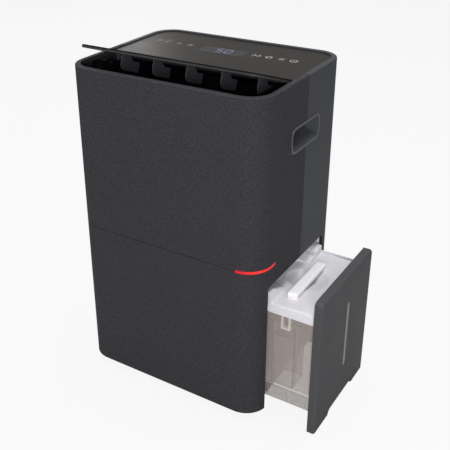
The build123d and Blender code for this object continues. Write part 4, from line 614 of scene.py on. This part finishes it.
# Water tank
# A clear tank with a slight warm smoke in the plastic, on a skirt with sunk panels. Its walls look
# denser where they turn away; pale lines at the thick edges of the floor, the foot and the panels are
# painted highlights.
WALL_SMOKE = (0.64, 0.560, 0.52)
SKIRT_SMOKE = (0.30, 0.268, 0.254)
EDGE_HIGHLIGHT = (0.72, 0.67, 0.64)
FILM_SIZE = 0.03
PANEL_PITCH = 0.037
PANEL_HALF_X = 0.016
PANEL_HALF_Z = 0.011
PANEL_EDGE = 0.0010
PANEL_SOFT = 0.0002
SKIRT_H = 0.032
SKIRT_SOFT = 0.001
FLOOR_EDGE = 0.0010
FOOT_EDGE = 0.0014
EDGE_SOFT = 0.0004
tank_low, tank_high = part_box("tank_body")
tank_mid = (tank_low[0] + tank_high[0]) / 2
tank_floor = tank_low[2] + SKIRT_H
skirt_mid = (tank_low[2] + tank_floor) / 2
clear_tank = Finish("smoky_tank")
tank_x = clear_tank.place.axis("X")
tank_z = clear_tank.place.axis("Z")
edge_on = clear_tank.place.node("ShaderNodeLayerWeight", {}, {"Blend": 0.30}, "Facing")
film = clear_tank.place.noise(FILM_SIZE)

# Ten whole panels are added, so that the length to be folded back and forth is above zero.
along_skirt = tank_x - tank_mid - PANEL_PITCH / 2 + 10 * PANEL_PITCH
from_panel = tank_x.maths("PINGPONG", along_skirt, PANEL_PITCH / 2)


def sunk_panel(inset):
    """1 within the skirt's panels, less the inset: near a panel's middle in x and the skirt's in z."""
    in_x = from_panel.near(0, PANEL_HALF_X - inset, PANEL_SOFT)
    in_z = tank_z.near(skirt_mid, PANEL_HALF_Z - inset, PANEL_SOFT)
    return in_x * in_z


# Painted highlights: pale, denser lines round the sunk panels and at the tank's floor and foot.
panel_highlight = sunk_panel(0) - sunk_panel(PANEL_EDGE)
floor_highlight = tank_z.near(tank_floor, FLOOR_EDGE, EDGE_SOFT) + tank_z.near(tank_low[2], FOOT_EDGE, EDGE_SOFT)
painted_highlight = floor_highlight * 0.8 + panel_highlight * 0.5
skirt = 1 - tank_z.step(tank_floor - SKIRT_SOFT, tank_floor)
clear_tank.set({
    "Base Color": painted_highlight.between(skirt.between(WALL_SMOKE, SKIRT_SMOKE), EDGE_HIGHLIGHT),
    "Roughness": 0.14 + film * 0.06,
    "Alpha": 0.22 + edge_on * 0.22 + film * 0.03 + skirt * 0.27 + painted_highlight * 0.20,
    "Specular IOR Level": 0.4,
})
dress(clear_tank, "tank_body")

# Tank lid, carrying bar and float hanger
# The lid is frosted white with a dished finger well, a raised water inlet and a stop; its lowest
# band is finely ribbed for grip. The white bar across the well is welded on at its two ends.
LID_WHITE = (0.71, 0.70, 0.735)
LID_GRAIN = 0.0016
LID_DEPTH = 0.00002
WELL_X = 0.214
WELL_Y = -0.005
WELL_R = 0.041
WELL_FLAT = 0.80
lid_low, lid_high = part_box("tank_lid")
frosted = Finish("frosted_lid")
lid_grain = frosted.place.noise(LID_GRAIN, GRAIN_DETAIL)
well_x = frosted.place.axis("X") - WELL_X
well_y = frosted.place.axis("Y") - WELL_Y
from_well = well_x * well_x + well_y * well_y
# Painted shade: the lid's colour is up to 12 % darker inside the dished finger well, where shade falls.
painted_well_shade = 1 - from_well.step((WELL_FLAT * WELL_R) ** 2, WELL_R**2)
frosted.set({
    "Base Color": (1 - painted_well_shade * 0.12 + (lid_grain - 0.5) * 0.05).tint(LID_WHITE),
    "Roughness": 0.36 + lid_grain * 0.08,
    "Normal": lid_grain.bump(LID_DEPTH),
})
dress(frosted, "tank_lid")
bar_white = moulded("bar_white", (0.93, 0.92, 0.945), 0.35, grain=LID_GRAIN, depth=0.00001, mottle=0.02)
dress(bar_white, "tank_handle")
hanger_white = moulded("hanger_white", (0.95, 0.90, 0.88), 0.35, grain=LID_GRAIN, depth=0.00001, mottle=0.02)
dress(hanger_white, "float_hanger")

RIB_PITCH = 0.0026
RIB_DEPTH = 0.0004
RIB_SEAT = 0.0002
RIB_FOOT = 0.0003
RIB_TOP = 0.0056
RIB_STEPS = 8


def ribbed_strip(name, face, outward):
    """A strip along X whose outer face stands out by half a cosine of x over the rib pitch, with a
    flat back set a little into the lid: four rows of points, joined round into a closed band."""
    ribs = int((lid_high[0] - lid_low[0] - 2 * RIB_PITCH) / RIB_PITCH)
    count = ribs * RIB_STEPS + 1
    x = lid_low[0] + RIB_PITCH + np.arange(count) * RIB_PITCH / RIB_STEPS
    wave = RIB_DEPTH * (0.5 - 0.5 * np.cos(2 * np.pi * np.arange(count) / RIB_STEPS))
    low = lid_low[2] + RIB_FOOT
    high = lid_low[2] + RIB_TOP
    front = face + outward * wave
    rear = np.full(count, face - outward * RIB_SEAT)
    rows = [(front, low), (front, high), (rear, high), (rear, low)]
    points = np.stack([np.stack([x, y, np.full(count, z)], 1) for y, z in rows], 1).reshape(-1, 3)
    first = np.arange(count - 1)[:, None] * 4
    side = np.arange(4)
    after = (side + 1) % 4
    quads = np.stack([first + side, first + after, first + 4 + after, first + 4 + side], 2)
    quads = np.vstack([quads.reshape(-1, 4), side[::-1], side + (count - 1) * 4])
    strip = mesh_piece(name, points, quads if outward > 0 else quads[:, ::-1], frosted)
    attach(strip, "tank")


ribbed_strip("lid_ribs_front", lid_low[1], -1)
ribbed_strip("lid_ribs_rear", lid_high[1], 1)

# Float
# A clear bell of thin moulded plastic below the lid's hanger, which rises with the water and works
# the level sensor. Its edges are thicker and look darker.
FLOAT_SMOKE = (0.34, 0.285, 0.26)
FLOAT_DARK = (0.07, 0.055, 0.048)
FLOAT_EDGE = 0.0016
FLOAT_SOFT = 0.0008
FLOAT_FILM = 0.012
clear_float = Finish("clear_float")
float_film = clear_float.place.noise(FLOAT_FILM, GRAIN_DETAIL)
at_ends = []
for axis_name, low, high in zip("XYZ", *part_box("tank_float")):
    inner_half = (high - low) / 2 - FLOAT_EDGE
    inner = clear_float.place.axis(axis_name).near((low + high) / 2, inner_half, FLOAT_SOFT)
    at_ends.append(1 - inner)
moulded_edge = at_ends[0] * at_ends[1] + at_ends[1] * at_ends[2] + at_ends[0] * at_ends[2]
clear_float.set({
    "Base Color": moulded_edge.between(FLOAT_SMOKE, FLOAT_DARK),
    "Roughness": 0.14 + float_film * 0.10,
    "Alpha": 0.20 + float_film * 0.04 + moulded_edge * 0.70,
})
dress(clear_float, "tank_float")

# Filter cassette, drain and cord gland
# A slatted slate cassette with a woven black net slides out of the back. The drain spigot has a
# turning cap, and a rubber gland closes the cord's hole.
NET_BLACK = (0.040, 0.040, 0.045)
NET_PITCH = 0.0016
NET_DEPTH = 0.0002
NET_EDGE = 0.2
NET_TURNS = 2 * math.pi / NET_PITCH
dress(slate, "filter_grille")
net = Finish("woven_net")
weft = net.place.maths("SINE", net.place.axis("X") * NET_TURNS)
warp = net.place.maths("SINE", net.place.axis("Z") * NET_TURNS)
threads_up = net.place.maths("MAXIMUM", weft, warp)
net.set({
    "Base Color": (0.7 + threads_up * 0.4).tint(NET_BLACK),
    "Roughness": 0.7,
    "Alpha": threads_up.step(-NET_EDGE, NET_EDGE),
    "Normal": threads_up.bump(NET_DEPTH),
})
dress(net, "filter_mesh")
dress(black_moulding, "drain_spigot", "drain_cap")
dress(foot_rubber, "cord_gland")

# Studio floor and light
# A wide floor in matt grey paint, shown nearly white to the camera, under an even soft sky. Four
# square lamps stand round it: a strong one at the right front, one above, and two weak ones.
FLOOR_HALF = 9.0
FLOOR_GREY = (0.48, 0.48, 0.48)
FLOOR_SHOWN = 0.90
floor_paint = Finish("studio_white")
floor_paint.set({"Base Color": FLOOR_GREY, "Roughness": 0.9, "Specular IOR Level": 0.0})
paint = Wire(floor_paint.tree, floor_paint.shader.outputs[0])
seen = paint.node("ShaderNodeLightPath", {}, {}, "Is Camera Ray")
lift = paint.node("ShaderNodeEmission", {}, {"Color": (1, 1, 1, 1), "Strength": 1.0})
lifted = paint.node("ShaderNodeMixShader", {}, {0: seen * FLOOR_SHOWN, 1: paint, 2: lift})
floor_paint.tree.links.new(lifted.socket, floor_paint.tree.nodes["Material Output"].inputs["Surface"])
floor_corners = np.array([(-1, -1, 0), (1, -1, 0), (1, 1, 0), (-1, 1, 0)]) * FLOOR_HALF
floor = mesh_piece("studio_floor", floor_corners, np.array([[0, 1, 2, 3]]), floor_paint)

SKY_LIGHT = 0.22
SKY_GLOSS = 0.08
world = bpy.data.worlds.new("studio")
bpy.context.scene.world = world
world.use_nodes = True
sky = Wire(world.node_tree)
camera_ray, glossy_ray, clear_ray = [
    sky.node("ShaderNodeLightPath", {}, {}, name)
    for name in ("Is Camera Ray", "Is Glossy Ray", "Is Transmission Ray")
]
shown = sky.maths("MAXIMUM", camera_ray, clear_ray)
strength = SKY_LIGHT + shown * (1 - SKY_LIGHT) + glossy_ray * SKY_GLOSS
backdrop = world.node_tree.nodes["Background"]
backdrop.inputs["Color"].default_value = (1, 1, 1, 1)
world.node_tree.links.new(strength.socket, backdrop.inputs["Strength"])


def stand(holder, right, up, back, place):
    """Puts a lamp or a camera at place, with its own x, y and z along right, up and back."""
    axes = np.eye(4)
    axes[:3] = np.stack([right, up, back, place], 1)
    holder.matrix_world = Matrix(axes.tolist())


def soft_lamp(name, place, target, size, power):
    """A square lamp at place, turned to face target."""
    lamp = bpy.data.lights.new(name, "AREA")
    lamp.shape = "SQUARE"
    lamp.size = size
    lamp.energy = power
    holder = bpy.data.objects.new(name, lamp)
    bpy.context.scene.collection.objects.link(holder)
    back = np.array(place, dtype=float) - target
    back /= np.linalg.norm(back)
    right = np.cross((0, 0, 1), back)
    right /= np.linalg.norm(right)
    stand(holder, right, np.cross(back, right), back, place)


soft_lamp("key_lamp", (1.60, -2.66, 1.2), (0, 0, 0.45), 1.2, 66.0)
soft_lamp("fill_lamp", (-2.4, -1.6, 1.5), (0, 0, 0.30), 1.8, 14.0)
soft_lamp("top_lamp", (0.2, 0.2, 3.0), (0.1, 0, 0.4), 1.8, 72.0)
soft_lamp("rear_lamp", (-2.4, 1.9, 1.25), (0, 0, 0.45), 1.5, 10.0)

# Camera
# It stands at the right front, above the object, as the photograph's camera did. Its angles are in
# degrees, its distance and offsets in metres; the shift stands for the photograph's framing.
AZIMUTH = 33.334
ELEVATION = 25.988
ROLL = -0.991
AIM = (0, 0, 0.318)
DISTANCE = 1.450362
SIDE = -0.029554
DOWN = -0.036439
SENSOR = 36.0
LENS = 61.107
SHIFT_X = 0.0728
SHIFT_Y = -0.0692
azimuth, elevation, roll = np.radians([AZIMUTH, ELEVATION, ROLL])
flat = np.array([math.sin(azimuth), -math.cos(azimuth)]) * math.cos(elevation)
back = np.array([*flat, math.sin(elevation)])
level = np.cross(-back, (0, 0, 1))
level /= np.linalg.norm(level)
upright = np.cross(level, -back)
right = math.cos(roll) * level + math.sin(roll) * upright
up = math.cos(roll) * upright - math.sin(roll) * level
eye = bpy.data.cameras.new("photo_camera")
eye.sensor_width = SENSOR
eye.lens = LENS
eye.shift_x = SHIFT_X
eye.shift_y = SHIFT_Y
camera = bpy.data.objects.new("photo_camera", eye)
bpy.context.scene.collection.objects.link(camera)
stand(camera, right, up, back, AIM + back * DISTANCE + right * SIDE - up * DOWN)
bpy.context.scene.camera = camera
bpy.context.scene.view_settings.view_transform = "Standard"
